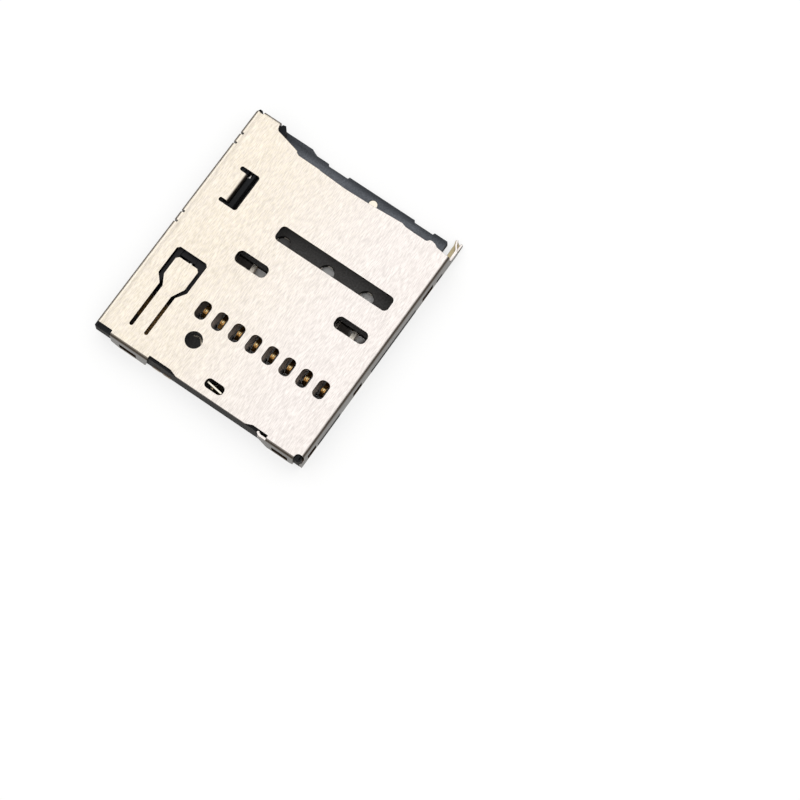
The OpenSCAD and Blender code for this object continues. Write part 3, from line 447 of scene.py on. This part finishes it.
def band_group():
    """Where the strip is gold, by place along the part, with a slightly wandering border."""
    tree, entry, leave = new_group(
        "Plating Bands",
        {"Front Start": 0.0, "Front End": 0.0, "Rear End": 0.0, "Tip Height": 0.5 * MM, "Blur": 0.12 * MM},
        ["Gold"])
    wander_width = 0.4 * MM
    place, blur = part_place(tree), entry.outputs["Blur"]
    axes = add_node(tree, "ShaderNodeSeparateXYZ", {0: place}).outputs
    wander = math_node(tree, "SUBTRACT", noise_at(tree, place, 900.0, Detail=2.0), 0.5)
    along = math_node(tree, "ADD", axes["Y"], times(tree, wander, wander_width))

    def border(name):
        low = math_node(tree, "SUBTRACT", entry.outputs[name], blur)
        high = math_node(tree, "ADD", entry.outputs[name], blur)
        return step_node(tree, along, low, high)

    front = math_node(tree, "SUBTRACT", border("Front Start"), border("Front End"), clamp=True)
    solder_side = slope(tree, "Z", 0.7, 0.3)
    above = math_node(tree, "DIVIDE", axes["Z"], entry.outputs["Tip Height"])
    ends = math_node(tree, "MAXIMUM", opposite(tree, border("Rear End")), step_node(tree, above, 0.9, 1.1))
    gold = math_node(tree, "ADD", times(tree, front, solder_side), ends, clamp=True)
    tree.links.new(gold, leave.inputs["Gold"])


def blotch_group():
    """Slow, uneven patches, such as tarnish, handling and oil."""
    tree, entry, leave = new_group("Soft Patches", {"Patch Size": 2 * MM, "Contrast": 0.5}, ["Patches"])
    scale = math_node(tree, "DIVIDE", 1.0, entry.outputs["Patch Size"])
    noise = noise_at(tree, part_place(tree), scale, Detail=3.0, Roughness=0.55)
    half = times(tree, entry.outputs["Contrast"], 0.5)
    low = math_node(tree, "SUBTRACT", 0.5, half)
    high = math_node(tree, "ADD", 0.5, half)
    tree.links.new(step_node(tree, noise, low, high), leave.inputs["Patches"])


def scratch_group():
    """Sparse hairline scratches that cross each other."""
    tree, entry, leave = new_group("Hairlines", {"Spacing": 0.5 * MM, "Amount": 0.5}, ["Lines"])
    sparsest, line_blur = 0.83, 0.05
    place, spacing = part_place(tree), entry.outputs["Spacing"]
    width = times(tree, spacing, 0.12)
    low = math_node(tree, "SUBTRACT", sparsest, times(tree, entry.outputs["Amount"], 0.1))
    high = math_node(tree, "ADD", low, line_blur)
    total = 0.0
    for angle, stretch in ((0.35, 14.0), (-0.6, 18.0), (1.25, 22.0)):
        turned_shade = add_node(tree, "ShaderNodeVectorRotate", {"Vector": place, "Angle": angle}).outputs[0]
        stretched = in_steps(tree, turned_shade, width, times(tree, width, stretch), spacing)
        noise = noise_at(tree, stretched, Detail=0.0)
        total = math_node(tree, "ADD", total, step_node(tree, noise, low, high), clamp=True)
    tree.links.new(total, leave.inputs["Lines"])


def skin_group():
    """Skin of filled plastic: fine spark texture, flow marks from the gate, and glass fibres."""
    tree, entry, leave = new_group("Moulded Skin", {"Flow Length": 1.5 * MM}, ["Height", "Flow", "Fibres"])
    fibre_length, fibre_width, fibre_depth = 0.25 * MM, 0.022 * MM, 0.05 * MM
    place, length = part_place(tree), entry.outputs["Flow Length"]
    drawn = in_steps(tree, place, length, times(tree, length, 0.3), length)
    thread = in_steps(tree, place, fibre_length, fibre_width, fibre_depth)
    height = noise_at(tree, place, 22000.0, Detail=4.0, Roughness=0.6)
    flow = noise_at(tree, drawn, Detail=3.0, Distortion=0.8)
    fibres = noise_at(tree, thread, Detail=1.0, Distortion=0.4)
    tree.links.new(height, leave.inputs["Height"])
    tree.links.new(step_node(tree, flow, 0.46, 0.7), leave.inputs["Flow"])
    tree.links.new(step_node(tree, fibres, 0.62, 0.78), leave.inputs["Fibres"])


# Materials

def new_material(name, **values):
    """A material with one Principled shader; values set its plain sockets."""
    material = bpy.data.materials.new(name)
    material.use_nodes = True
    tree = material.node_tree
    tree.nodes.clear()
    shader = add_node(tree, "ShaderNodeBsdfPrincipled")
    for key, value in values.items():
        shader.inputs[key.replace("_", " ").title().replace("Ior", "IOR")].default_value = value
    add_node(tree, "ShaderNodeOutputMaterial", {"Surface": shader.outputs["BSDF"]})
    return material, tree, shader


def set_bump(tree, shader, height, strength, depth, rounding=0.0):
    """Feeds a height, and edges that look rounded, into the shader's normal."""
    bump = add_node(tree, "ShaderNodeBump", {"Strength": strength, "Distance": depth, "Height": height})
    if rounding > 0:
        soft = add_node(tree, "ShaderNodeBevel", {"Radius": rounding}, samples=6)
        tree.links.new(soft.outputs[0], bump.inputs["Normal"])
    tree.links.new(bump.outputs["Normal"], shader.inputs["Normal"])


def sheet_face(tree, settings, patches):
    """Colour of the broad top, warmer towards the slider and mottled."""
    mottle_amount, patch_amount = 0.3, 0.22
    warm = zone(tree, "X", *WARM_SIDE)
    face = mix_colour(tree, warm, rgba(settings.face_colour), rgba(settings.warm_colour))
    mottle = soft_patches(tree, patch_size=settings.mottle_size, contrast=0.35)
    face = mix_colour(tree, times(tree, mottle, mottle_amount), face, rgba(settings.pink_colour))
    return mix_colour(tree, times(tree, patches, patch_amount), face, rgba(settings.face_colour))


def rolled_tone(tree, grain):
    """Brightness of the rolled face: streaked, and with painted shade where it turns down on the slider's
    side.
    """
    streak = spread(tree, grain.outputs["Streaks"], 0.8, 1.08)
    broad = spread(tree, grain.outputs["Broad"], 0.96, 1.0)
    # Painted shade where the top turns down on the slider's side
    turned_shade = zone(tree, "X", SLIDER_FOLD, SLIDER_FOLD - 0.15 * MM, off=1.0, on=0.88)
    return times(tree, streak, broad, turned_shade)


def folded_sheet(tree, settings, face):
    """Painted shade: dark walls, darker folds between them and the face, and a darker rear fold."""
    fold, rear_amount = rgba(settings.fold_shade_colour), 0.8
    # Painted shade on the walls and folds
    body = mix_colour(tree, level(tree, 0.25, 0.5), rgba(settings.wall_shade_colour), fold)
    body = mix_colour(tree, level(tree, 0.68, 0.95), body, face)
    rear_fold_shade = times(tree, slope(tree, "Y", -0.12, -0.4), level(tree, 0.2, 0.45), rear_amount)
    return mix_colour(tree, rear_fold_shade, body, fold)


def unlit_sheet(tree, front):
    """1 on the top's inner face, and on the sills of the latch openings in the walls."""
    inner = times(tree, slope(tree, "Z", 0.15, 0.05),
                  zone(tree, "Z", UNDER_TOP - 0.04 * MM, UNDER_TOP - 0.01 * MM))
    sill = times(tree, slope(tree, "Z", 0.5, 0.7),
                 zone(tree, "Z", UNDER_TOP - 0.1 * MM, UNDER_TOP - 0.15 * MM), opposite(tree, front))
    return math_node(tree, "MAXIMUM", inner, sill)


def sheet_material(settings):
    """Rolled stainless sheet of the cover."""
    material, tree, shader = new_material("Rolled Sheet", metallic=1.0, roughness=0.3)
    grain = use_group(tree, "Rolling Grain", streak_width=settings.streak_width,
                      streak_length=settings.streak_length)
    patches = soft_patches(tree, patch_size=3.2 * MM, contrast=0.6)
    front = zone(tree, "Y", FOOT_CORNER - 0.2 * MM, FOOT_CORNER)
    # Painted shade on the flat foot at the front corner
    foot = times(tree, zone(tree, "Z", *FOOT_TOP), front)
    face = mix_colour(tree, foot, sheet_face(tree, settings, patches), rgba(settings.foot_shade_colour))
    body = folded_sheet(tree, settings, toned(tree, face, rolled_tone(tree, grain)))
    # Sheared edges are bright metal with a painted highlight, and darker at the foot
    sheared = mix_colour(tree, front, rgba(settings.cut_edge_highlight_colour), rgba(settings.fold_shade_colour))
    amount = step_node(tree, front, 0.0, 1.0, to_low=0.25, to_high=0.7)
    body = mix_colour(tree, times(tree, sheared_edge(tree, reach=0.035 * MM), amount), body, sheared)
    # Painted shade on the top's inner face and on the sills of the latch openings
    body = mix_colour(tree, unlit_sheet(tree, front), body, rgba(settings.inner_colour))
    tree.links.new(body, shader.inputs["Base Color"])
    rough = spread(tree, grain.outputs["Streaks"], 0.26, 0.4)
    tree.links.new(math_node(tree, "ADD", rough, times(tree, patches, 0.05)), shader.inputs["Roughness"])
    scratches = times(tree, hairlines(tree, spacing=0.5 * MM, amount=0.35), 0.8)
    height = math_node(tree, "SUBTRACT", grain.outputs["Streaks"], scratches)
    set_bump(tree, shader, height, strength=0.35, depth=0.004 * MM, rounding=settings.edge_radius)
    return material


def marked(tree, settings, body, marks):
    """Lays marks over the plastic, each a mask, an amount and a gain on the housing's own colour."""
    for mask, amount, gain in marks:
        body = mix_colour(tree, times(tree, mask, amount), body, rgba(settings.body_colour, gain))
    return body


def moulded_colour(tree, settings, skin, patches, upper):
    """Filled plastic with its marks, paler towards the slider, and with neutral, darker painted shade under
    the cover.
    """
    slider_side = times(tree, upper, zone(tree, "X", *TRAY_SLIDER_SIDE))
    body = marked(tree, settings, rgba(settings.body_colour), (
        (skin.outputs["Flow"], 0.5, 1.6), (patches, 0.4, 1.5), (slider_side, 0.2, 2.2)))
    cover_shade = times(tree, upper, zone(tree, "Y", *TRAY_COVERED), 0.85)
    body = mix_colour(tree, cover_shade, body, rgba(settings.shade_colour))
    scratches = hairlines(tree, spacing=0.8 * MM, amount=0.5)
    body = marked(tree, settings, body, ((skin.outputs["Fibres"], 0.25, 2.4), (scratches, 0.12, 2.4)))
    speckle = soft_patches(tree, patch_size=0.09 * MM, contrast=0.6)
    return toned(tree, body, step_node(tree, speckle, 0.0, 1.0, to_low=0.85, to_high=1.25))


def housing_light(tree, settings, body, upper):
    """The ledge fades towards its front and edges are dark; walls get painted shade, and the tops under the
    cover darker painted shade still.
    """
    fading = zone(tree, "Y", TRAY_FRONT - 0.51 * MM, TRAY_FRONT - 0.05 * MM, off=1.6, on=0.62)
    body = mix_colour(tree, upper, body, toned(tree, body, fading))
    body = marked(tree, settings, body, ((sheared_edge(tree, reach=0.03 * MM), 0.6, 0.25),))
    # Painted shade on the upright walls
    upright = opposite(tree, level(tree, 0.2, 0.8))
    body = mix_colour(tree, upright, body, rgba(settings.shade_colour, 0.55))
    # Painted shade on the tops under the cover, darkest where the mask is full
    shaded_tops = times(tree, upper, zone(tree, "Z", *TRAY_SHADED_TOPS))
    dull = step_node(tree, shaded_tops, 0.0, 1.0, to_low=1.0, to_high=0.1)
    return mix_colour(tree, dull, rgba(settings.body_colour, 0.15), body)


def housing_material(settings):
    """Glass-filled black plastic."""
    material, tree, shader = new_material(
        "Housing Plastic", roughness=0.5, ior=1.55, specular_ior_level=0.02)
    skin = use_group(tree, "Moulded Skin", flow_length=settings.flow_length)
    patches = soft_patches(tree, patch_size=1.8 * MM, contrast=0.5)
    upper = slope(tree, "Z", 0.2, 0.8)
    body = moulded_colour(tree, settings, skin, patches, upper)
    tree.links.new(housing_light(tree, settings, body, upper), shader.inputs["Base Color"])
    rough = spread(tree, skin.outputs["Height"], 0.4, 0.54)
    tree.links.new(math_node(tree, "ADD", rough, times(tree, patches, 0.08)), shader.inputs["Roughness"])
    set_bump(tree, shader, skin.outputs["Height"], strength=0.4, depth=0.006 * MM,
             rounding=settings.edge_radius)
    return material


def slider_material(settings):
    """Smooth black plastic with faint rub marks."""
    material, tree, shader = new_material(
        "Slider Plastic", roughness=0.35, ior=1.5, specular_ior_level=0.15)
    skin = use_group(tree, "Moulded Skin", flow_length=settings.flow_length)
    rubbed_edges = times(tree, sheared_edge(tree, reach=0.04 * MM), 0.5)
    scratches = times(tree, hairlines(tree, spacing=0.4 * MM, amount=0.6), 0.4)
    rub = math_node(tree, "ADD", rubbed_edges, scratches)
    body = mix_colour(tree, rub, rgba(settings.slider_colour), rgba(settings.slider_colour, 4.0))
    tree.links.new(body, shader.inputs["Base Color"])
    tree.links.new(spread(tree, skin.outputs["Height"], 0.26, 0.42), shader.inputs["Roughness"])
    set_bump(tree, shader, skin.outputs["Height"], strength=0.25, depth=0.004 * MM)
    return material


def banded_strip(tree, settings):
    """Nickel strip with its gold bands, and bare at the cut rear end."""
    bands = use_group(tree, "Plating Bands", front_start=settings.front_band_start,
                      front_end=settings.front_band_end, rear_end=settings.rear_band_end,
                      tip_height=settings.tip_height)
    uncut = zone(tree, "Y", CAD_LOW[1] + 0.12 * MM, CAD_LOW[1] + 0.2 * MM)
    plated = times(tree, bands.outputs["Gold"], uncut)
    return mix_colour(tree, plated, rgba(settings.silver_colour), rgba(settings.gold_colour))


def worn_strip(tree, settings, body, streaks, dull):
    """Dull patches and streaks, and a painted highlight on the edges."""
    patches = times(tree, soft_patches(tree, patch_size=0.7 * MM, contrast=0.5), dull)
    wear = math_node(tree, "ADD", patches, step_node(tree, streaks, 0.35, 0.75, 0.0, 0.4), clamp=True)
    worn = mix_colour(tree, 1.0, body, rgba(settings.worn_tint), blend="MULTIPLY")
    body = mix_colour(tree, wear, body, worn)
    # Painted highlight on the strip's edges
    edge_highlighted = mix_colour(tree, 0.5, body, rgba(settings.edge_highlight_colour))
    edge = times(tree, sheared_edge(tree, reach=0.025 * MM), 0.55)
    return mix_colour(tree, edge, body, edge_highlighted)


def contact_ends(tree, settings, body):
    """Shaded gold on the raised ends, with a painted highlight along the crown of each contact point."""
    end = times(tree, slope(tree, "Z", -0.3, 0.1), zone(tree, "Z", CONTACT_END, CONTACT_END + 0.1 * MM))
    body = mix_colour(tree, end, body, rgba(settings.tip_colour))
    # Painted highlight along the crown of the contact point
    bead_highlight = zone(tree, "Z", CONTACT_BEAD, CONTACT_BEAD + 0.02 * MM)
    return mix_colour(tree, bead_highlight, body, rgba(settings.bead_highlight_colour))


def plated_material(name, settings, shade_top, grain_length=0.35 * MM, dull=0.35):
    """Strip metal with gold bands, with painted shade on up-facing faces under the cover up to shade_top, and
    a painted highlight above it.
    """
    material, tree, shader = new_material(name, metallic=1.0, roughness=0.3)
    streaks = use_group(tree, "Rolling Grain", streak_width=0.03 * MM,
                        streak_length=grain_length).outputs["Streaks"]
    body = banded_strip(tree, settings)
    up = slope(tree, "Z", 0.3, 0.7)
    # Painted shade on up-facing faces under the cover, less metallic there
    strip_shade = times(tree, up, zone(tree, "Y", *STRIP_SHADED),
                    zone(tree, "Z", shade_top, shade_top - 0.1 * MM))
    shaded_strip = mix_colour(tree, 1.0, body, rgba(settings.strip_shade_tint), blend="MULTIPLY")
    body = worn_strip(tree, settings, mix_colour(tree, strip_shade, body, shaded_strip), streaks, dull)
    # Painted highlight on up-facing faces above the painted shade
    top_highlight = times(tree, up, zone(tree, "Z", shade_top - 0.01 * MM, shade_top), 0.85)
    body = contact_ends(tree, settings, mix_colour(tree, top_highlight, body, rgba(settings.top_highlight_colour)))
    tree.links.new(body, shader.inputs["Base Color"])
    metallic = step_node(tree, strip_shade, 0.0, 1.0, to_low=1.0, to_high=0.3)
    tree.links.new(metallic, shader.inputs["Metallic"])
    tree.links.new(spread(tree, streaks, 0.2, 0.42), shader.inputs["Roughness"])
    set_bump(tree, shader, streaks, strength=0.35, depth=0.003 * MM)
    return material


def gold_material(settings):
    """Fully gold-plated terminals."""
    material, tree, shader = new_material("Gold Terminals", metallic=1.0, roughness=0.25)
    streaks = use_group(tree, "Rolling Grain", streak_width=0.025 * MM,
                        streak_length=0.2 * MM).outputs["Streaks"]
    dull = times(tree, soft_patches(tree, patch_size=0.4 * MM, contrast=0.5), 0.45)
    body = mix_colour(tree, dull, rgba(settings.gold_colour), rgba(settings.gold_colour, 0.62))
    # Painted highlight on the terminals' upper faces
    body = mix_colour(tree, slope(tree, "Z", 0.5, 0.9), body, rgba(settings.terminal_highlight_colour))
    tree.links.new(body, shader.inputs["Base Color"])
    tree.links.new(spread(tree, streaks, 0.16, 0.36), shader.inputs["Roughness"])
    set_bump(tree, shader, streaks, strength=0.3, depth=0.003 * MM)
    return material


def wire_material(settings):
    """Drawn spring steel with fine scratches."""
    material, tree, shader = new_material("Drawn Wire", metallic=1.0, roughness=0.2)
    patches = soft_patches(tree, patch_size=0.25 * MM, contrast=0.6)
    scratches = hairlines(tree, spacing=0.12 * MM, amount=0.8)
    body = mix_colour(tree, times(tree, patches, 0.6), rgba(settings.steel_colour),
                      rgba(settings.dull_colour))
    rough = step_node(tree, patches, 0.0, 1.0, to_low=0.14, to_high=0.3)
    tree.links.new(body, shader.inputs["Base Color"])
    tree.links.new(rough, shader.inputs["Roughness"])
    set_bump(tree, shader, scratches, strength=0.3, depth=0.002 * MM)
    return material


def beyond_part(tree, outside):
    """0 under the part, and outside on the floor round it and beside the foot."""
    inset, blur = 0.2 * MM, 0.06 * MM

    def past(axis, edge):
        return zone(tree, axis, edge - blur, edge + blur)

    beside_foot = times(tree, past("X", FOOT_CORNER), past("Y", FOOT_CORNER))
    ahead = math_node(tree, "MAXIMUM", past("Y", TRAY_FRONT - inset), beside_foot)
    right = math_node(tree, "MAXIMUM", ahead, past("X", CAD_HIGH[0] - inset))
    left_or_behind = opposite(tree, times(tree, past("X", CAD_LOW[0] + inset), past("Y", CAD_LOW[1] + inset)))
    beyond = math_node(tree, "MAXIMUM", right, left_or_behind)
    return step_node(tree, beyond, 0.0, 1.0, 0.0, outside)


def daylight(tree):
    """Painted light: soft spots on the floor under the part's slots and pilots, and a strip under the
    contacts.
    """
    place, blur = part_place(tree), 0.1 * MM
    rear, front, strip_strength = DAYLIT_STRIP
    total = times(tree, zone(tree, "Y", rear - blur, rear + blur),
                  zone(tree, "Y", front + blur, front - blur), strip_strength)
    for x, y, radius, strength in DAYLIT:
        away = add_node(tree, "ShaderNodeVectorMath", {0: place, 1: (x, y, 0)}, operation="DISTANCE")
        spot = step_node(tree, away.outputs["Value"], radius, 0.3 * radius, 0.0, strength)
        total = math_node(tree, "MAXIMUM", total, spot)
    return total


def floor_material(settings):
    """Pale card, lifted to white where a camera, mirror or clear ray sees it, with its shadow kept."""
    material, tree, shader = new_material("Pale Card", roughness=0.9)
    white_share = 0.7
    grain = noise_at(tree, part_place(tree), 400.0, Detail=3.0)
    tone = mix_colour(tree, grain, rgba(settings.floor_colour, 0.985), rgba(settings.floor_colour))
    # Painted shade on the floor under the part, with the painted pools of light
    shade = mix_colour(tree, daylight(tree), rgba(settings.shade_colour), tone)
    tone = mix_colour(tree, beyond_part(tree, 1.0), shade, tone)
    tree.links.new(tone, shader.inputs["Base Color"])
    rays = add_node(tree, "ShaderNodeLightPath").outputs
    seen = math_node(tree, "ADD", rays["Is Camera Ray"], rays["Is Glossy Ray"], clamp=True)
    seen = math_node(tree, "ADD", seen, rays["Is Transmission Ray"], clamp=True)
    white = add_node(tree, "ShaderNodeEmission", {"Color": (1.0, 1.0, 1.0, 1.0), "Strength": 1.0})
    both = add_node(tree, "ShaderNodeMixShader", {
        0: times(tree, seen, beyond_part(tree, white_share)), 1: shader.outputs["BSDF"], 2: white.outputs[0]})
    output = next(n for n in tree.nodes if n.type == "OUTPUT_MATERIAL")
    tree.links.new(both.outputs[0], output.inputs["Surface"])
    return material


# Meshes

def round_edges(piece, radius):
    """Joins the CAD mesh's faces and rounds its edges, by modifiers alone."""
    piece.modifiers.new("Join", "WELD").merge_threshold = 0.0004 * MM
    flat = piece.modifiers.new("Clean Faces", "DECIMATE")
    flat.decimate_type = "DISSOLVE"
    flat.angle_limit = math.radians(0.4)
    bevel = piece.modifiers.new("Round Edges", "BEVEL")
    bevel.width = radius
    bevel.segments = 2
    bevel.limit_method = "ANGLE"
    bevel.angle_limit = math.radians(38)
    bevel.use_clamp_overlap = False
    bevel.harden_normals = True


def dress(names, material, radius=0.0):
    """Gives CAD nodes a finish and, with a radius, rounded edges."""
    for name in names:
        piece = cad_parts[name]
        piece.data.materials.clear()
        piece.data.materials.append(material)
        if radius > 0:
            round_edges(piece, radius)


def wire_section(shape, point, ahead, sides, radius):
    """Corners of the wire's section, square to the way ahead."""
    across = ahead.cross(Vector((0, 1, 0))).normalized()
    upright = across.cross(ahead)
    turns = [2 * math.pi * side / sides for side in range(sides)]
    return [shape.verts.new(point + radius * (math.cos(turn) * across + math.sin(turn) * upright))
            for turn in turns]


def tube_mesh(name, points, sides, radius):
    """A closed tube along points that wind round the Y axis."""
    shape = bmesh.new()
    rings = []
    for index, point in enumerate(points):
        ahead = points[min(index + 1, len(points) - 1)] - points[max(index - 1, 0)]
        rings.append(wire_section(shape, point, ahead.normalized(), sides, radius))
    for first, second in zip(rings, rings[1:]):
        for side in range(sides):
            after = (side + 1) % sides
            shape.faces.new((first[side], first[after], second[after], second[side]))
    shape.faces.new(reversed(rings[0]))
    shape.faces.new(rings[-1])
    bmesh.ops.recalc_face_normals(shape, faces=shape.faces)
    for face in shape.faces:
        face.smooth = len(face.verts) == 4
    return link_mesh(name, shape)


def link_mesh(name, shape):
    """Puts a finished shape into the scene as an object."""
    mesh = bpy.data.meshes.new(name)
    shape.to_mesh(mesh)
    shape.free()
    piece = bpy.data.objects.new(name, mesh)
    bpy.context.scene.collection.objects.link(piece)
    return piece


def coil_points(settings, low, high):
    """Points along the wire, with a closed turn at each end."""
    wire, turns = settings.wire, settings.turns
    clearance, closed_rise = 0.004 * MM, 1.1 * wire
    centre = (low + high) / 2
    radius = (high.x - low.x - wire) / 2 - clearance
    start, end = low.y + wire / 2, high.y - wire / 2
    rise = (end - start - 2 * closed_rise) / (turns - 2)
    points = []
    for index in range(turns * settings.steps + 1):
        turn = index / settings.steps
        along = min(turn, 1) * closed_rise + min(max(turn - 1, 0), turns - 2) * rise
        along += max(turn - turns + 1, 0) * closed_rise
        angle = 2 * math.pi * turn
        points.append(Vector((centre.x + radius * math.cos(angle), start + along,
                              centre.z + radius * math.sin(angle))))
    return points


# Operators

class CONNECTOR_OT_groups(bpy.types.Operator):
    """Builds the shader groups that the finishes share"""

    bl_idname = "connector.groups"
    bl_label = "Shader Groups"

    def execute(self, context):
        for build in (grain_group, edge_group, band_group, blotch_group, scratch_group, skin_group):
            build()
        return {"FINISHED"}


class CONNECTOR_OT_cover(bpy.types.Operator):
    """Finishes the folded cover"""

    bl_idname = "connector.cover"
    bl_label = "Cover"

    def execute(self, context):
        dress(["cover_shell"], sheet_material(context.scene.connector_shell))
        return {"FINISHED"}


class CONNECTOR_OT_housing(bpy.types.Operator):
    """Finishes the moulded housing and the slider"""

    bl_idname = "connector.housing"
    bl_label = "Housing and Slider"

    def execute(self, context):
        settings = context.scene.connector_plastic
        dress(["housing"], housing_material(settings))
        dress(["slider"], slider_material(settings), 1.5 * settings.edge_radius)
        return {"FINISHED"}


class CONNECTOR_OT_contacts(bpy.types.Operator):
    """Finishes the eight contacts"""

    bl_idname = "connector.contacts"
    bl_label = "Contacts"

    def execute(self, context):
        settings = context.scene.connector_plating
        strip = plated_material("Plated Contacts", settings, settings.contact_shade_top)
        dress(CONTACT_NAMES, strip, settings.edge_radius)
        return {"FINISHED"}


class CONNECTOR_OT_plates(bpy.types.Operator):
    """Finishes the moulded-in plates and the slider's base plate"""

    bl_idname = "connector.plates"
    bl_label = "Plates"

    def execute(self, context):
        settings = context.scene.connector_plating
        plate = plated_material("Plated Plates", settings, settings.plate_shade_top,
                                grain_length=0.8 * MM, dull=0.45)
        dress(["floor_plate", "ground_plate", "slider_base_plate"], plate, settings.edge_radius)
        return {"FINISHED"}


class CONNECTOR_OT_terminals(bpy.types.Operator):
    """Finishes the detect switch and the ground pad"""

    bl_idname = "connector.terminals"
    bl_label = "Switch and Terminals"

    def execute(self, context):
        settings = context.scene.connector_plating
        terminals = ["switch_leaf", "switch_terminal", "ground_terminal"]
        dress(terminals, gold_material(settings), settings.edge_radius)
        return {"FINISHED"}


class CONNECTOR_OT_ejector(bpy.types.Operator):
    """Finishes the cam pin and winds the smooth spring"""

    bl_idname = "connector.ejector"
    bl_label = "Cam Pin and Spring"

    def execute(self, context):
        settings = context.scene.connector_spring
        steel = wire_material(settings)
        dress(["cam_pin"], steel)
        low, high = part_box("eject_spring")
        points = coil_points(settings, low, high)
        spring = tube_mesh("eject_spring_wire", points, settings.sides, settings.wire / 2)
        spring.data.materials.append(steel)
        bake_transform(spring)
        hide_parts("eject_spring")
        return {"FINISHED"}


class CONNECTOR_OT_stage(bpy.types.Operator):
    """Makes the floor, surround, lamps and camera"""

    bl_idname = "connector.stage"
    bl_label = "Stage"

    def execute(self, context):
        settings = context.scene.connector_stage
        self.make_floor(settings)
        self.make_surround(context, settings)
        self.make_lamps(context, settings)
        self.make_camera(context, settings)
        context.scene.view_settings.view_transform = "Standard"
        return {"FINISHED"}

    def make_floor(self, settings):
        """A round card just under the part."""
        shape = bmesh.new()
        bmesh.ops.create_circle(shape, cap_ends=True, segments=96, radius=settings.floor_radius)
        floor = link_mesh("floor", shape)
        floor.location = (0, 0, -0.002 * MM)
        floor.data.materials.append(floor_material(settings))

    def make_surround(self, context, settings):
        """A pale sky with a darker horizon, dimmer still in mirrors."""
        world = bpy.data.worlds.new("Pale Surround")
        context.scene.world = world
        world.use_nodes = True
        tree = world.node_tree
        tree.nodes.clear()
        place = add_node(tree, "ShaderNodeTexCoord").outputs["Generated"]
        height = add_node(tree, "ShaderNodeSeparateXYZ", {0: place}).outputs["Z"]
        mirrored = step_node(tree, height, 0.12, 0.8, 0.1, 1.0)
        soft = step_node(tree, height, 0.0, 0.6, 0.75, settings.sky_strength)
        diffuse = add_node(tree, "ShaderNodeLightPath").outputs["Is Diffuse Ray"]
        strength = add_node(tree, "ShaderNodeMapRange", {
            "Value": diffuse, "To Min": mirrored, "To Max": soft}).outputs["Result"]
        sky = add_node(tree, "ShaderNodeBackground", {
            "Color": rgba(settings.sky_colour), "Strength": strength})
        add_node(tree, "ShaderNodeOutputWorld", {"Surface": sky.outputs[0]})

    def make_lamps(self, context, settings):
        """Square lamps that face the part."""
        for name, power, size, place in LAMPS:
            lamp = bpy.data.lights.new(name, "AREA")
            lamp.energy = getattr(settings, power)
            lamp.size = size
            holder = bpy.data.objects.new(name, lamp)
            holder.location = place
            holder.rotation_euler = (-Vector(place)).to_track_quat("-Z", "Y").to_euler()
            context.scene.collection.objects.link(holder)

    def make_camera(self, context, settings):
        """A long lens that looks down on the part."""
        turn, rise = settings.azimuth, settings.elevation
        back = Vector((math.sin(turn) * math.cos(rise), -math.cos(turn) * math.cos(rise), math.sin(rise)))
        camera = bpy.data.cameras.new("camera")
        camera.lens = settings.lens
        camera.sensor_width = 36
        camera.clip_start = 0.001
        camera.clip_end = 10
        holder = bpy.data.objects.new("camera", camera)
        holder.location = Vector(settings.aim) + back * settings.distance
        holder.rotation_euler = (-back).to_track_quat("-Z", "Y").to_euler()
        context.scene.collection.objects.link(holder)
        context.scene.camera = holder


class CONNECTOR_PT_panel(bpy.types.Panel):
    """Lists the finishes in the sidebar"""

    bl_label = "Card Connector"
    bl_idname = "CONNECTOR_PT_panel"
    bl_space_type = "VIEW_3D"
    bl_region_type = "UI"
    bl_category = "Connector"

    def draw(self, context):
        for operator in OPERATORS:
            self.layout.operator(operator.bl_idname)
        for name, group in SETTINGS.items():
            box = self.layout.box()
            box.label(text=group.__doc__)
            for key in group.__annotations__:
                box.prop(getattr(context.scene, name), key)


SETTINGS = {
    "connector_shell": ShellSettings,
    "connector_plastic": PlasticSettings,
    "connector_plating": PlatingSettings,
    "connector_spring": SpringSettings,
    "connector_stage": StageSettings,
}
OPERATORS = (
    CONNECTOR_OT_groups, CONNECTOR_OT_cover, CONNECTOR_OT_housing, CONNECTOR_OT_contacts,
    CONNECTOR_OT_plates, CONNECTOR_OT_terminals, CONNECTOR_OT_ejector, CONNECTOR_OT_stage,
)


def register():
    """Adds the settings, the operators and the panel."""
    for group in SETTINGS.values():
        bpy.utils.register_class(group)
    for name, group in SETTINGS.items():
        setattr(bpy.types.Scene, name, bpy.props.PointerProperty(type=group))
    for operator in OPERATORS:
        bpy.utils.register_class(operator)
    bpy.utils.register_class(CONNECTOR_PT_panel)


def unregister():
    """Takes away what register added."""
    bpy.utils.unregister_class(CONNECTOR_PT_panel)
    for operator in reversed(OPERATORS):
        bpy.utils.unregister_class(operator)
    for name, group in SETTINGS.items():
        delattr(bpy.types.Scene, name)
        bpy.utils.unregister_class(group)


def main():
    """Dresses the part and builds the stage."""
    register()
    for operator in OPERATORS:
        kind, call = operator.bl_idname.split(".")
        getattr(getattr(bpy.ops, kind), call)()


if __name__ == "__main__":
    main()
